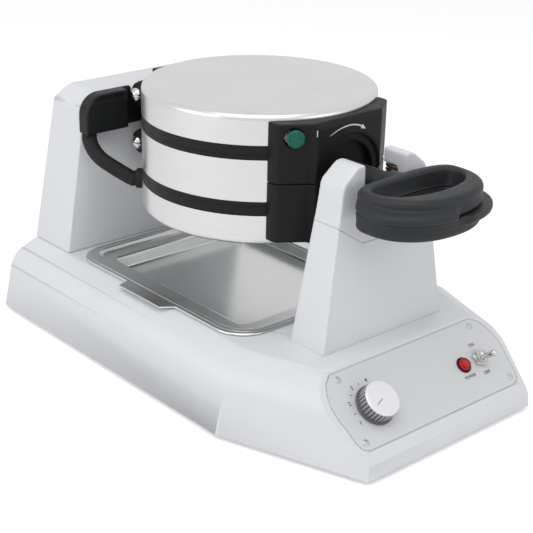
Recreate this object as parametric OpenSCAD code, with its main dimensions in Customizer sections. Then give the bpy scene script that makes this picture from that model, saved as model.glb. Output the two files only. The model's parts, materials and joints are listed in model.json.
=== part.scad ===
// Counter-top waffle baker with a flip-over round baking drum.
// The drum turns in a rear bearing, and its front stem lies in a U slot.
// Each face of the drum has its own lid, hinged at the back of the middle ring.
// Units are millimetres. Front is -Y, right is +X and up is +Z.
// Everything is laid out around the drum's centre, over Y = 0, and is then
// slid along Y so that the middle of the footprint is the origin.

/* [Base] */
// Height of the deck above the bottom edge of the housing
deck_h = 67.5; // [58:0.5:84]
// Half the width of the flat deck
deck_half_w = 110.5; // [98:0.5:134]
// Drum centre back to the rear edge of the deck
rear_len = 206; // [196:1:250]
// Drum centre forward to where the deck starts to narrow
taper_y = 115; // [90:1:124]
// Angle between the tapered front corners and the sides
taper_angle = 19.2; // [12:0.1:24]
// Drum centre forward to the top edge of the control slope
panel_y = 182; // [176:1:220]
// Slope of the control face from level
panel_slope = 39.7; // [30:0.1:50]
// Height of the upright front edge under the control face
front_edge_h = 14; // [10:0.5:20]
// Slope of the shoulders from level
shoulder_slope = 27; // [18:1:36]
// Width of the flat part of a shoulder, along its slope
shoulder_run = 15; // [8:1:20]
// Radius between a shoulder and the side wall
shoulder_r = 26; // [16:1:32]
// Lean of the side walls
wall_draft = 8; // [4:0.5:10]
// Lean of the tapered front corners
taper_draft = 6.5; // [3:0.5:9]
// Wall of the housing and of both pillars
wall = 3; // [2:0.25:4]
// Gap between the housing and the surface it stands on
foot_gap = 4; // [2:0.5:10]
// Radius of a rubber foot
foot_r = 12; // [9:0.5:15]
// Thickness of the sheet that closes the bottom
cover_t = 1.5; // [1:0.25:2.5]

/* [Pillars] */
// Height of both pillars above the turning axis
pillar_rise = 25.5; // [24.5:0.5:34]
// Half the width of the rear pillar at the deck
rear_half_w = 109.6; // [96:0.2:110]
// Drum centre back to the face of the rear pillar
rear_face_y = 148; // [146:0.5:160]
// Lean of the rear pillar's back
rear_lean = 3; // [0:0.5:6]
// Inward slope of the pillar sides, run over rise
pillar_slope = 0.163; // [0.1:0.001:0.19]
// Half the width of the front pillar at the deck
front_half_w = 70.8; // [62:0.2:84]
// Drum centre forward to the front pillar's back, at the deck
front_back_y = 124.7; // [123:0.1:130]
// Drum centre forward to the front pillar's face, at the deck
front_face_y = 164.5; // [158:0.5:170]
// Lean of the front pillar's face
front_lean = 3.1; // [1:0.1:4.5]
// Half the width of the U slot, and the radius of its floor
slot_r = 23.5; // [20:0.5:25]
// Slope of the seam under the pillar's cap
seam_slope = 33; // [20:1:40]
// Half the width of the seam's flat bottom
seam_flat_w = 26; // [0:1:35]
// Depth of the cap's seam below the turning axis, on the pillar's sides
seam_drop = 21.5; // [10:0.5:30]

/* [Drum] */
// Height of the turning axis above the bottom edge of the housing
axis_h = 193.5; // [188:0.5:235]
// Outer radius of the drum
drum_r = 104; // [96:0.5:120]
// Half the height of the steel band around the middle
band_half_h = 18; // [16:0.5:22]
// Thickness of a baking plate's rim
rim_t = 3.8; // [3:0.2:5]
// Height of a lid plate's rim
lid_rim_h = 8.4; // [7:0.2:10]
// Height of a lid's steel cover
cover_h = 26; // [24:0.5:32]
// Radius on the edge of a lid's cover
cover_edge_r = 5; // [2:0.5:8]
// Thickness of the drum's sheet steel
sheet_t = 1; // [0.8:0.1:1.6]
// Radius of a baking cavity
cavity_r = 89; // [80:0.5:92]
// Depth of a baking cavity in each plate
cavity_h = 12; // [10:0.5:12.5]
// Height of the pegs that mould the waffle's pockets
peg_h = 8.5; // [5:0.5:9]
// Side of a peg
peg_w = 12; // [8:0.5:16]
// Distance from peg to peg
peg_pitch = 21; // [18:0.5:28]
// Radius of a heating element's ring
heater_ring_r = 62; // [45:1:74]
// Radius of a heating element's tube
heater_r = 3.25; // [2.5:0.05:4]
// Gap between a lid plate and the plate under it
parting_gap = 0.3; // [0.2:0.05:0.8]

/* [Hinges and shaft] */
// Drum centre back to the hinge pins
hinge_y = 130; // [128:0.5:131]
// Height of a hinge pin above the drum's middle plane
hinge_z = 23.3; // [20:0.1:24]
// Radius of a hinge barrel
barrel_r = 12; // [10:0.5:12]
// Radius of a hinge pin
pin_r = 4; // [3:0.25:5]
// Radial clearance of a pin or shaft that turns
running = 0.05; // [0.02:0.01:0.1]
// Gap along a pin or shaft between pieces that turn past each other
side_gap = 0.4; // [0.3:0.1:0.8]
// Half the width of the middle hinge knuckle
knuckle_half_w = 14; // [13.6:0.1:16]
// Half the width over both outer hinge arms
arm_half_w = 34; // [28:0.5:40]
// Outer radius of the hollow drum shaft
shaft_r = 12; // [10:0.25:13]
// Radius of the wiring bore in the shaft
shaft_bore_r = 8; // [5:0.25:8.5]
// Wall of the bearing bush
bush_t = 4; // [3:0.25:5]

/* [Front bracket and handle] */
// Half the width of a front bracket
bracket_half_w = 64; // [56:0.5:72]
// Height of a front bracket above the drum's middle plane
bracket_h = 51; // [46:0.5:53]
// Drum centre forward to the bracket's flat face
bracket_face_y = 114.5; // [113:0.25:116]
// Radius of the round recess around the stem
recess_r = 36.5; // [30:0.5:38]
// Radius of the deep part of the recess
recess_deep_r = 29.5; // [24:0.5:32]
// Radius of the stem between bracket and handle
stem_r = 14; // [11:0.25:15]
// Drum centre forward to the back of the handle
handle_back_y = 166; // [164:0.5:172]
// Drum centre forward to the front of the handle
handle_front_y = 236; // [226:1:250]
// Half the width of a handle
handle_half_w = 56; // [46:1:68]
// Width of the handle's bar at its sides
handle_bar = 9.5; // [8:0.5:14]
// Height of one handle
handle_h = 17; // [12:0.5:20]
// How far the grip lip stands out at the handle's side
lip_out = 9; // [4:0.5:11]
// How far the grip lip stands out at the handle's front
lip_front = 6; // [3:0.5:8]
// Height of the grip lip
lip_h = 7; // [4:0.5:10]

/* [Controls] */
// Sideways place of the dial, from the middle
knob_x = -61; // [-66:1:-50]
// Place of the dial's centre down the slope
knob_s = 42; // [38:0.5:46]
// Radius of the dial
knob_r = 16; // [12:0.5:18]
// Height of the dial above the control plate
knob_h = 14; // [9:0.5:18]
// Radius of the dial's spindle
spindle_r = 3; // [2.5:0.1:4]
// Sideways place of the power light
light_x = 48; // [40:1:52]
// Radius of the power light
light_r = 6; // [4:0.25:8]
// Sideways place of the toggle switch
switch_x = 68; // [66:1:78]
// Place of the light and the switch down the slope
switch_s = 41; // [36:0.5:46]
// Distance across the flats of the switch nut
nut_flats = 14; // [12:0.5:17]
// Lean of the toggle lever to each side
lever_lean = 13; // [8:1:16]

/* [Drip tray] */
// Half the width of the tray's rim
tray_half_w = 108; // [90:0.5:109]
// Drum centre forward to the front of the tray
tray_front_y = 102.5; // [90:0.5:113]
// Drum centre back to the back of the tray
tray_back_y = 141.5; // [120:0.5:143]
// Corner radius of the tray
tray_r = 30; // [26:0.5:36]
// Width of the tray's rim
tray_rim = 9; // [7:0.5:12]
// Width of the shallow shelf between the rim and the pan
tray_shelf = 18; // [8:0.5:19]
// Depth of the shelf below the rim
tray_shelf_h = 5; // [3:0.5:8]
// Depth of the pan below the rim
tray_depth = 18; // [10:0.5:26]
// Thickness of the tray's steel
tray_t = 1; // [0.8:0.1:1.5]

/* [Hidden] */
$fn = 64;

// Longer than anything it cuts or is cut by
reach = 600;
// Gap where a loose piece lies in or on another
ease = 0.3;
// Height of both pillars and of the cap's seam above the housing's bottom edge
pillar_h = axis_h + pillar_rise;
seam_h = axis_h - seam_drop;
// Lean of the upright edge under the control face
front_draft = 4;
// Steps in a rounded outline
arc_steps = 8;

steel = "#d9dadc";
polished = "#c9ccd0";
paint = "#d3d4d7";
plastic = "#3d3f42";
cast_black = "#232426";
zinc = "#b9bcc0";
rubber = "#1c1c1d";
bronze = "#b5764a";
green = "#0f9c6a";
red = "#c0202a";
knob_grey = "#a7a9ad";

// ---- Outlines --------------------------------------------------------------

function unit(v) = v / norm(v);
// Outward normal of the edge from a to b, in a counter-clockwise outline
function edge_normal(a, b) = let(d = unit(b - a)) [d[1], -d[0]];
// A counter-clockwise outline with every edge moved in by t
function inset(p, t) = [
    for (i = [0 : len(p) - 1])
        let(n = len(p),
            before = edge_normal(p[(i + n - 1) % n], p[i]),
            after = edge_normal(p[i], p[(i + 1) % n]))
        p[i] - (before + after) * t / (1 + before * after)
];
function mirrored(p) = concat(p, [for (i = [len(p) - 1 : -1 : 0]) [-p[i][0], p[i][1]]]);
function shifted(p, d) = [for (q = p) q + d];

// Side wall and shoulder, from below the bottom edge up to the deck's edge at x = 0
function wall_curve(draft, drop) =
    let(flat_end = [shoulder_run * cos(shoulder_slope), deck_h - shoulder_run * sin(shoulder_slope)],
        centre = flat_end - shoulder_r * [sin(shoulder_slope), cos(shoulder_slope)],
        low = centre + shoulder_r * [cos(draft), sin(draft)])
    concat(
        [[low[0] + (low[1] + drop) * tan(draft), -drop]],
        [for (i = [0 : arc_steps])
            let(a = 90 - draft + (shoulder_slope - 90 + draft) * i / arc_steps)
            centre + shoulder_r * [sin(a), cos(a)]],
        [[0, deck_h]]);

// Housing seen from the side, as Y and Z
function long_profile(drop) =
    let(slope_low_y = -panel_y - (deck_h - front_edge_h) / tan(panel_slope))
    [
        [slope_low_y - tan(front_draft) * (front_edge_h + drop), -drop],
        [rear_len + tan(wall_draft) * (deck_h + drop), -drop],
        [rear_len, deck_h],
        [-panel_y, deck_h],
        [slope_low_y, front_edge_h]
    ];

// Half of a pillar seen from the front: its side, shoulder and top
function pillar_side(half_w, shoulder, drop) =
    let(crease = half_w - pillar_slope * (pillar_h - shoulder[0][1] - deck_h))
    concat(
        [[half_w + pillar_slope * drop, deck_h - drop]],
        [for (s = shoulder) [crease - s[0], pillar_h - s[1]]]);
// Steps in from the crease, and down from the top
rear_shoulder = [[0, 24], [1.5, 14], [5, 9], [12, 4], [21, 0]];
front_shoulder = [[0, 15], [2, 11.5], [15.5, 1], [18.5, 0]];
// Height below the pillar's top where the front pillar's back turns upright
front_crease = 32;

function front_pillar_profile(drop) =
    let(back_lean = 2.6,
        rise = pillar_h - front_crease - deck_h,
        back_y = -front_back_y - rise * tan(back_lean))
    [
        [-front_face_y - drop * tan(front_lean), deck_h - drop],
        [-front_back_y + drop * tan(back_lean), deck_h - drop],
        [back_y, pillar_h - front_crease],
        [back_y, pillar_h],
        [-front_face_y + (pillar_h - deck_h) * tan(front_lean), pillar_h]
    ];
function rear_pillar_profile(drop) = [
    [rear_face_y, deck_h - drop],
    [rear_len + drop * tan(rear_lean), deck_h - drop],
    [rear_len - (pillar_h - deck_h) * tan(rear_lean), pillar_h],
    [rear_face_y, pillar_h]
];

// ---- Places ----------------------------------------------------------------

module along_x(x0, x1) {
    translate([x0, 0, 0]) rotate([90, 0, 90]) linear_extrude(x1 - x0) children();
}
module along_y(y0, y1) {
    translate([0, y1, 0]) rotate([90, 0, 0]) linear_extrude(y1 - y0) children();
}
module both_sides() {
    children();
    mirror([1, 0, 0]) children();
}

gland_z = 30;
gland_out = 15;
rear_reach = rear_len + tan(wall_draft) * (deck_h - gland_z) + gland_out;
front_reach = max(handle_front_y + lip_front, -long_profile(0)[0][0]);
mid_shift = (front_reach - rear_reach) / 2;

// Frame of the base: Z from the housing's bottom edge
module in_base() {
    translate([0, mid_shift, foot_gap]) children();
}
// Frame of the drum: its centre on the turning axis
module in_drum() {
    translate([0, mid_shift, foot_gap + axis_h]) children();
}
// The bottom lid is the top lid turned half round the turning axis
module half_turn() {
    rotate([0, 180, 0]) children();
}
// Frame of the control face: origin at its top edge, Y up the slope, Z out of it
module on_panel(x, s) {
    translate([0, -panel_y, deck_h]) rotate([panel_slope, 0, 0]) translate([x, -s, 0]) children();
}

// ---- Base ------------------------------------------------------------------

module taper_prism(t, drop) {
    outline = concat([[-reach, -drop]], wall_curve(taper_draft, drop), [[-reach, deck_h]]);
    translate([deck_half_w, -taper_y, 0]) rotate([0, 0, -taper_angle])
        along_y(-reach, reach) polygon(inset(outline, t));
}

// The housing's solid shape, moved in by t, with its walls carried down by drop
module base_block(t, drop) {
    intersection() {
        along_y(-reach, reach)
            polygon(inset(mirrored(shifted(wall_curve(wall_draft, drop), [deck_half_w, 0])), t));
        along_x(-reach, reach) polygon(inset(long_profile(drop), t));
        taper_prism(t, drop);
        mirror([1, 0, 0]) taper_prism(t, drop);
    }
}

module rounded_slab(x, y0, y1, r, z0, z1) {
    translate([0, 0, z0]) linear_extrude(z1 - z0) {
        translate([-x, y0 + r]) square([2 * x, y1 - y0 - 2 * r]);
        translate([-x + r, y0]) square([2 * x - 2 * r, y1 - y0]);
        for (sx = [-1, 1], y = [y0 + r, y1 - r]) translate([sx * (x - r), y]) circle(r);
    }
}

well_gap = 1.5;
well_wall = 2.5;
pan_x = tray_half_w - tray_rim;
pan_y0 = -tray_front_y + tray_rim;
pan_y1 = tray_back_y - tray_rim;
pan_r = tray_r - tray_rim / 2;
module tray_well(grow, z0, z1) {
    rounded_slab(pan_x + grow, pan_y0 - grow, pan_y1 + grow, pan_r + grow, z0, z1);
}
well_floor = deck_h - tray_depth - well_gap;

cover_seat = 1;
cover_top = cover_seat + cover_t;
boss_r = 5;
screw_r = 2;
screw_l = 12;
head_r = 3.6;
head_h = 2;
cover_screw_places = [for (sx = [-1, 1], y = [rear_len - 24, 20, -panel_y - 8])
    [sx * (y < 0 ? deck_half_w - 20 : deck_half_w + 14), y]];
foot_places = [for (sx = [-1, 1], y = [rear_len - 40, -panel_y - 4])
    [sx * (y < 0 ? deck_half_w - 46 : deck_half_w + 4), y]];

// Screw holes under the pillars, as X and Y
front_screw_places = [for (sx = [-1, 1], y = [-front_back_y - 11, -front_face_y + 11])
    [sx * (front_half_w - 11), y]];
rear_screw_places = [for (sx = [-1, 1], y = [rear_face_y + 11, rear_len - 11])
    [sx * (rear_half_w - 13), y]];
pillar_screw_places = concat(front_screw_places, rear_screw_places);
// Boss in a pillar's foot, with a web that ties it to the side wall
module screw_boss(p) {
    boss_h = screw_l + 2;
    translate([p[0], p[1], deck_h]) {
        cylinder(r = boss_r, h = boss_h);
        translate([p[0] > 0 ? 0 : -reach, -wall / 2, 0]) cube([reach, wall, boss_h]);
    }
}

plate_t = 1.2;
plate_gap = 0.5;
// Outline of the control plate, as X and distance down the slope
plate_top_s = 5.5;
plate_low_s = 73;
plate_half = [[84, plate_top_s], [92, 11], [97, 20], [100, 31], [99.5, 42], [98, 50],
              [96.5, 64], [94, 70], [88, plate_low_s]];
plate_outline = [for (p = mirrored(plate_half)) [-p[0], -p[1]]];

module base_housing() color(paint) in_base() {
    difference() {
        union() {
            difference() {
                base_block(0, 0);
                base_block(wall, wall + 1);
            }
            intersection() {
                base_block(0, 0);
                union() {
                    tray_well(well_gap + well_wall, well_floor - well_wall, deck_h);
                    for (p = cover_screw_places)
                        translate([p[0], p[1], cover_top]) cylinder(r = boss_r, h = deck_h);
                }
            }
        }
        tray_well(well_gap, well_floor, deck_h + 1);
        // wiring holes under the pillars
        for (y = [-(front_back_y + front_face_y) / 2, (rear_face_y + rear_len) / 2])
            translate([-20, y - 8, deck_h - wall - 1]) cube([40, 16, wall + 2]);
        for (p = pillar_screw_places)
            translate([p[0], p[1], deck_h - wall - 1]) cylinder(r = screw_r + ease, h = wall + 2);
        for (p = cover_screw_places)
            translate([p[0], p[1], cover_top - 1]) cylinder(r = screw_r, h = screw_l);
        // seat of the control plate and the holes behind it
        on_panel(0, 0) translate([0, 0, -plate_t])
            linear_extrude(plate_t + 1) polygon(inset(plate_outline, -plate_gap));
        panel_holes(wall + 1);
        translate([0, rear_len - 5, gland_z]) rotate([-90, 0, 0]) cylinder(r = gland_neck_r, h = 40);
    }
}

// Holes for the spindle bush, the light and the switch, sunk by depth
bush_hole_r = 5;
switch_neck_r = 6;
module panel_holes(depth) {
    on_panel(knob_x, knob_s) translate([0, 0, -depth]) cylinder(r = bush_hole_r, h = depth + 1);
    on_panel(light_x, switch_s) translate([0, 0, -depth]) cylinder(r = light_r, h = depth + 1);
    on_panel(switch_x, switch_s) translate([0, 0, -depth]) cylinder(r = switch_neck_r, h = depth + 1);
    for (p = rivet_places)
        on_panel(p[0], p[1]) translate([0, 0, -depth]) cylinder(r = rivet_r, h = depth + 1);
}
rivet_r = 1.6;
rivet_places = [for (sx = [-1, 1], p = [[79.5, 11.6], [88, 66.3]]) [sx * p[0], p[1]]];

module bottom_cover() color(zinc) in_base() {
    difference() {
        intersection() {
            base_block(wall + ease, wall + ease + 1);
            translate([-reach / 2, -reach / 2, cover_seat]) cube([reach, reach, cover_t]);
        }
        for (p = cover_screw_places)
            translate([p[0], p[1], 0]) cylinder(r = screw_r, h = cover_top + 1);
        for (p = foot_places)
            translate([p[0], p[1], 0]) cylinder(r = screw_r, h = cover_top + 1);
        // cooling slots
        for (i = [-5 : 5])
            translate([i * 12 - 2.5, -60, 0]) cube([5, 60, cover_top + 1]);
    }
}

module rubber_feet() color(rubber) in_base() {
    for (p = foot_places) translate([p[0], p[1], -foot_gap]) difference() {
        rotate_extrude() polygon([
            [0, 0], [foot_r - 2, 0], [foot_r - 1, 1], [foot_r, foot_gap + cover_seat],
            [0, foot_gap + cover_seat]]);
        cylinder(r = head_r + 1, h = 2 * (1 + head_h), center = true);
        cylinder(r = screw_r, h = foot_gap + cover_seat + 1);
    }
}

module screw_up(l) {
    translate([0, 0, -head_h]) cylinder(r = head_r, h = head_h);
    translate([0, 0, -0.01]) cylinder(r = screw_r, h = l);
}

module cover_screws() {
    for (p = cover_screw_places) translate([p[0], p[1], cover_seat]) screw_up(screw_l - 1);
    for (p = foot_places)
        translate([p[0], p[1], -foot_gap + 1 + head_h]) difference() {
            screw_up(foot_gap + cover_t);
            translate([0, 0, -head_h - 1]) cylinder(r = 1.2, h = 2);
        }
}

// ---- Rear pillar -----------------------------------------------------------

module rear_block(t, drop) {
    intersection() {
        along_y(-reach, reach)
            polygon(inset(mirrored(pillar_side(rear_half_w, rear_shoulder, drop)), t));
        along_x(-reach, reach) polygon(inset(rear_pillar_profile(drop), t));
    }
}

bush_r = shaft_r + bush_t;
bush_flange_r = bush_r + 2;
bush_flange = 2;
bearing_l = 24;
collar_y = rear_face_y + bearing_l + bush_flange + side_gap;
collar_l = 7;
// Reach of the stop lug, which passes under the pillar's top
lug_r = pillar_rise - wall - 0.5;
bearing_boss_r = lug_r + 2;
// Half the height of the stop lug, and its gap to the stop at each end
lug_half = 5;
lug_gap = 0.6;

// Opening in the pillar's back, closed by the rear cover
hatch_x = rear_half_w - 32;
hatch_z0 = deck_h + 14;
hatch_z1 = pillar_h - 30;
hatch_lap = 8;
module on_rear_face() {
    translate([0, rear_len, deck_h]) rotate([90 + rear_lean, 0, 0]) mirror([0, 0, 1]) children();
}
module hatch(grow, z0, z1) {
    on_rear_face() translate([0, 0, z0]) linear_extrude(z1 - z0)
        translate([-hatch_x - grow, hatch_z0 - deck_h - grow])
            square([2 * (hatch_x + grow), hatch_z1 - hatch_z0 + 2 * grow]);
}
hatch_screw_places = [for (sx = [-1, 1], z = [hatch_z0 - deck_h - hatch_lap / 2,
                                              hatch_z1 - deck_h + hatch_lap / 2])
    [sx * (hatch_x - 10), z]];

module rear_pillar() color(paint) in_base() {
    difference() {
        union() {
            difference() {
                rear_block(0, 0);
                rear_block(wall, wall + 1);
                hatch(0, -wall - 1, 1);
            }
            intersection() {
                translate([0, rear_face_y, axis_h]) rotate([-90, 0, 0])
                    cylinder(r = bearing_boss_r, h = bearing_l);
                rear_block(0, 0);
            }
            // stop for the half turn, under the shaft
            translate([0, rear_face_y + bearing_l - 1, axis_h]) rotate([-90, 0, 0])
                intersection() {
                    cylinder(r = bearing_boss_r, h = collar_l + 2);
                    translate([-reach, lug_half + lug_gap, 0]) cube([2 * reach, reach, reach]);
                }
            intersection() {
                for (p = rear_screw_places) screw_boss(p);
                rear_block(0, 0);
            }
        }
        translate([0, rear_face_y - 1, axis_h]) rotate([-90, 0, 0]) cylinder(r = bush_r, h = bearing_l + 2);
        translate([0, rear_face_y + bearing_l, axis_h]) rotate([-90, 0, 0])
            cylinder(r = bush_flange_r + 0.6, h = collar_l + 3);
        for (p = rear_screw_places)
            translate([p[0], p[1], deck_h - 1]) cylinder(r = screw_r, h = screw_l);
        for (p = hatch_screw_places)
            on_rear_face() translate([p[0], p[1], -wall - 1]) cylinder(r = screw_r, h = wall + 2);
    }
}

module rear_pillar_cover() color(paint) in_base() {
    difference() {
        hatch(hatch_lap, 0, sheet_t);
        for (p = hatch_screw_places)
            on_rear_face() translate([p[0], p[1], -1]) cylinder(r = screw_r, h = 4);
        // vent slots
        for (i = [0 : 7], sx = [-1, 1])
            on_rear_face() translate([sx * hatch_x / 2 - 22, 24 + i * 8, -1]) cube([44, 3, 4]);
    }
}

module rear_cover_screws() {
    for (p = hatch_screw_places)
        on_rear_face() translate([p[0], p[1], sheet_t]) mirror([0, 0, 1]) screw_up(5);
}

module rear_bearing() color(bronze) in_drum() {
    translate([0, rear_face_y, 0]) rotate([-90, 0, 0]) difference() {
        union() {
            cylinder(r = bush_r, h = bearing_l + bush_flange);
            translate([0, 0, bearing_l]) cylinder(r = bush_flange_r, h = bush_flange);
        }
        translate([0, 0, -1]) cylinder(r = shaft_r + running, h = bearing_l + bush_flange + 2);
    }
}

// ---- Front pillar ----------------------------------------------------------

module front_block(t, drop) {
    intersection() {
        along_y(-reach, reach)
            polygon(inset(mirrored(pillar_side(front_half_w, front_shoulder, drop)), t));
        along_x(-reach, reach) polygon(inset(front_pillar_profile(drop), t));
    }
}
module slot_void(grow) {
    along_y(-reach, 0) translate([0, axis_h]) {
        circle(slot_r + grow);
        translate([-slot_r - grow, 0]) square([2 * (slot_r + grow), reach]);
    }
}
// Everything above the cap's seam, which dips from the sides to a flat bottom
module above_seam() {
    side = front_half_w - pillar_slope * (seam_h - deck_h);
    low = seam_h - (side - seam_flat_w) * tan(seam_slope);
    along_y(-reach, 0) polygon([
        [-seam_flat_w, low], [seam_flat_w, low], [side, seam_h], [reach, seam_h],
        [reach, reach], [-reach, reach], [-reach, seam_h], [-side, seam_h]]);
}

module front_pillar() color(paint) in_base() {
    difference() {
        union() {
            difference() {
                front_block(0, 0);
                front_block(wall, wall + 1);
                above_seam();
            }
            intersection() {
                for (p = front_screw_places) screw_boss(p);
                front_block(0, 0);
            }
        }
        for (p = front_screw_places)
            translate([p[0], p[1], deck_h - 1]) cylinder(r = screw_r, h = screw_l);
    }
}

// Windows for the bronze springs in the slot's sides
window_y0 = -146;
window_l = 16;
window_z = 4;
window_h = 8;
module front_pillar_cap() color(paint) in_base() {
    difference() {
        intersection() {
            front_block(0, 0);
            above_seam();
        }
        difference() {
            front_block(wall, wall + 1);
            slot_void(wall);
        }
        slot_void(0);
        both_sides() translate([slot_r - 1, window_y0, axis_h + window_z])
            cube([wall + 2, window_l, window_h]);
    }
}

// Bowed leaf springs that steady the stem, seated in the windows of the slot
module slot_springs() color(bronze) in_base() {
    both_sides() for (level = [0, 1])
        translate([slot_r + wall, window_y0 + window_l / 2, axis_h + window_z + 1.2 + level * 3.4])
            intersection() {
                difference() {
                    translate([12, 0, 0]) cylinder(r = 14, h = 2);
                    translate([12, 0, -1]) cylinder(r = 13.2, h = 4);
                }
                translate([-wall - 2, -window_l / 2 + ease, -1]) cube([wall + 3, window_l - 2 * ease, 4]);
            }
}

module pillar_screws() {
    for (p = pillar_screw_places) translate([p[0], p[1], deck_h - wall]) screw_up(screw_l + wall - 2);
}

// Every screw of the base: bottom cover and feet, rear hatch, both pillars
module base_screws() color(zinc) in_base() {
    cover_screws();
    rear_cover_screws();
    pillar_screws();
}

// ---- Mains inlet -----------------------------------------------------------

gland_neck_r = 8;
gland_bore_r = 4.2;
wall_y = rear_len + tan(wall_draft) * (deck_h - gland_z);
module cord_gland() color(rubber) in_base() {
    translate([0, wall_y - wall - 6, gland_z]) rotate([-90, 0, 0]) difference() {
        union() {
            cylinder(r = gland_neck_r, h = 9 + wall);
            cylinder(r = gland_neck_r + 3, h = 4);
            translate([0, 0, 8 + wall]) cylinder(r = gland_neck_r + 3, h = 4);
            translate([0, 0, 12 + wall])
                cylinder(r1 = gland_neck_r + 1, r2 = gland_neck_r - 2, h = gland_out - 6);
        }
        translate([0, 0, -1]) cylinder(r = gland_bore_r, h = 60);
    }
}

module terminal_block() color("#e8e6df") in_base() {
    translate([-30, rear_len - 50, cover_top]) difference() {
        cube([60, 22, 16]);
        for (i = [0 : 4]) translate([6 + i * 12, 11, 6]) cylinder(r = 3, h = 20);
    }
}

// ---- Controls --------------------------------------------------------------

module control_plate() color("#dcdde0") in_base() {
    difference() {
        on_panel(0, 0) translate([0, 0, -plate_t]) linear_extrude(plate_t) polygon(plate_outline);
        panel_holes(plate_t + 1);
    }
}

module plate_rivets() color(zinc) in_base() {
    for (p = rivet_places) on_panel(p[0], p[1]) {
        cylinder(r = rivet_r + 1.3, h = 0.9);
        translate([0, 0, -wall - 1]) cylinder(r = rivet_r, h = wall + 1);
    }
}

module thermostat_body() color(zinc) in_base() {
    on_panel(knob_x, knob_s) difference() {
        union() {
            translate([0, 0, -wall - 24]) cylinder(r = 17, h = 24);
            translate([0, 0, -wall - 1]) cylinder(r = bush_hole_r, h = wall + 1);
        }
        translate([0, 0, -wall - 16]) cylinder(r = spindle_r + running, h = 40);
    }
}

module thermostat_spindle() color(zinc) in_base() {
    on_panel(knob_x, knob_s) translate([0, 0, -wall - 15]) cylinder(r = spindle_r, h = wall + 15 + knob_h - 4);
}

flute_count = 30;
knob_gap = 0.6;
module control_knob() color(knob_grey) in_base() {
    on_panel(knob_x, knob_s) translate([0, 0, knob_gap]) difference() {
        union() {
            cylinder(r = knob_r + 1.5, h = 2);
            cylinder(r = knob_r, h = knob_h);
        }
        for (i = [0 : flute_count - 1])
            rotate(i * 360 / flute_count) translate([knob_r + 0.4, 0, 2.5])
                cylinder(r = 1.1, h = knob_h, $fn = 16);
        translate([0, 0, knob_h - 1.2]) cylinder(r = knob_r - 3, h = 2);
        translate([0, 0, -1]) cylinder(r = spindle_r, h = knob_h - 4 - knob_gap + 1);
    }
}

// Angle of the pointer, clockwise from straight up the slope
pointer_angle = -112;
module knob_face() color("#e4e5e7") in_base() {
    on_panel(knob_x, knob_s) translate([0, 0, knob_gap + knob_h - 1.2]) {
        cylinder(r = knob_r - 3, h = 1.4);
        rotate(-pointer_angle) translate([-0.9, 4, 1.39]) cube([1.8, knob_r - 8, 0.6]);
    }
}

module switch_body() color(zinc) in_base() {
    on_panel(switch_x, switch_s) difference() {
        union() {
            translate([-8, -14, -wall - 26]) cube([16, 28, 26]);
            translate([0, 0, -wall - 1]) cylinder(r = switch_neck_r, h = wall + 7);
        }
        translate([0, 0, -2]) cylinder(r1 = 2.2, r2 = 4.8, h = 9);
        translate([0, 0, -2]) sphere(r = lever_ball_r + ease);
    }
}

module switch_nut() color(polished) in_base() {
    on_panel(switch_x, switch_s) difference() {
        union() {
            cylinder(r = nut_flats / 2 + 1.6, h = 1);
            translate([0, 0, 0.99]) cylinder(d = nut_flats / cos(30), h = 3.4, $fn = 6);
        }
        translate([0, 0, -1]) cylinder(r = switch_neck_r, h = 8);
    }
}

lever_ball_r = 3;
lever_l = 24;
module toggle_lever() color(polished) in_base() {
    on_panel(switch_x, switch_s) translate([0, 0, -2]) rotate([lever_lean, 0, 0]) {
        sphere(r = lever_ball_r);
        cylinder(r1 = 1.5, r2 = 2.8, h = lever_l - 2.8);
        translate([0, 0, lever_l - 2.8]) sphere(r = 2.8);
    }
}

module power_light() color(red) in_base() {
    on_panel(light_x, switch_s) {
        cylinder(r = light_r + 1.2, h = 1);
        translate([0, 0, -wall - 20]) cylinder(r = light_r - 0.5, h = wall + 20);
        translate([0, 0, 1]) rotate_extrude() intersection() {
            translate([0, -4]) circle(7);
            square([light_r, 8]);
        }
    }
}

// ---- Drip tray -------------------------------------------------------------

tab_out = 11;
tray_top = deck_h + ease + 2.2;
module drip_tray() color(polished) in_base() {
    difference() {
        union() {
            rounded_slab(tray_half_w, -tray_front_y, tray_back_y, tray_r, deck_h + ease, tray_top);
            tray_well(0, tray_top - tray_shelf_h, tray_top - 0.5);
            tray_well(-tray_shelf, tray_top - tray_depth, tray_top - 0.5);
            // pull tab on the left
            translate([0, 0, tray_top - 1.4]) linear_extrude(1.4)
                polygon([[-tray_half_w + 2, 56], [-tray_half_w - tab_out, 52], [-tray_half_w - tab_out, -9],
                         [-tray_half_w + 2, -19]]);
        }
        // hollow under the rim, then the pan
        difference() {
            rounded_slab(tray_half_w - tray_t, -tray_front_y + tray_t, tray_back_y - tray_t,
                         tray_r - tray_t, deck_h - 1, tray_top - tray_t);
            tray_well(0, 0, reach);
        }
        tray_well(-tray_t, tray_top - tray_shelf_h + tray_t, tray_top + 1);
        tray_well(-tray_shelf - tray_t, tray_top - tray_depth + tray_t, tray_top + 1);
        // rolled bead around the rim
        difference() {
            rounded_slab(tray_half_w - 3, -tray_front_y + 3, tray_back_y - 3, tray_r - 3,
                         tray_top - 0.4, tray_top + 1);
            rounded_slab(tray_half_w - 5, -tray_front_y + 5, tray_back_y - 5, tray_r - 5,
                         0, tray_top + 2);
        }
    }
}

// ---- Drum middle -----------------------------------------------------------

part_z = band_half_h + rim_t;
lid_z = part_z + parting_gap;
cover_z = lid_z + lid_rim_h;
drum_top = cover_z + cover_h;
plate_body_r = cavity_r + 7;
heater_gap = 0.3;
plate_floor_t = 5;

module ring_tube(r, tube_r) {
    rotate_extrude() translate([r, 0]) circle(tube_r, $fn = 24);
}

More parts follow.
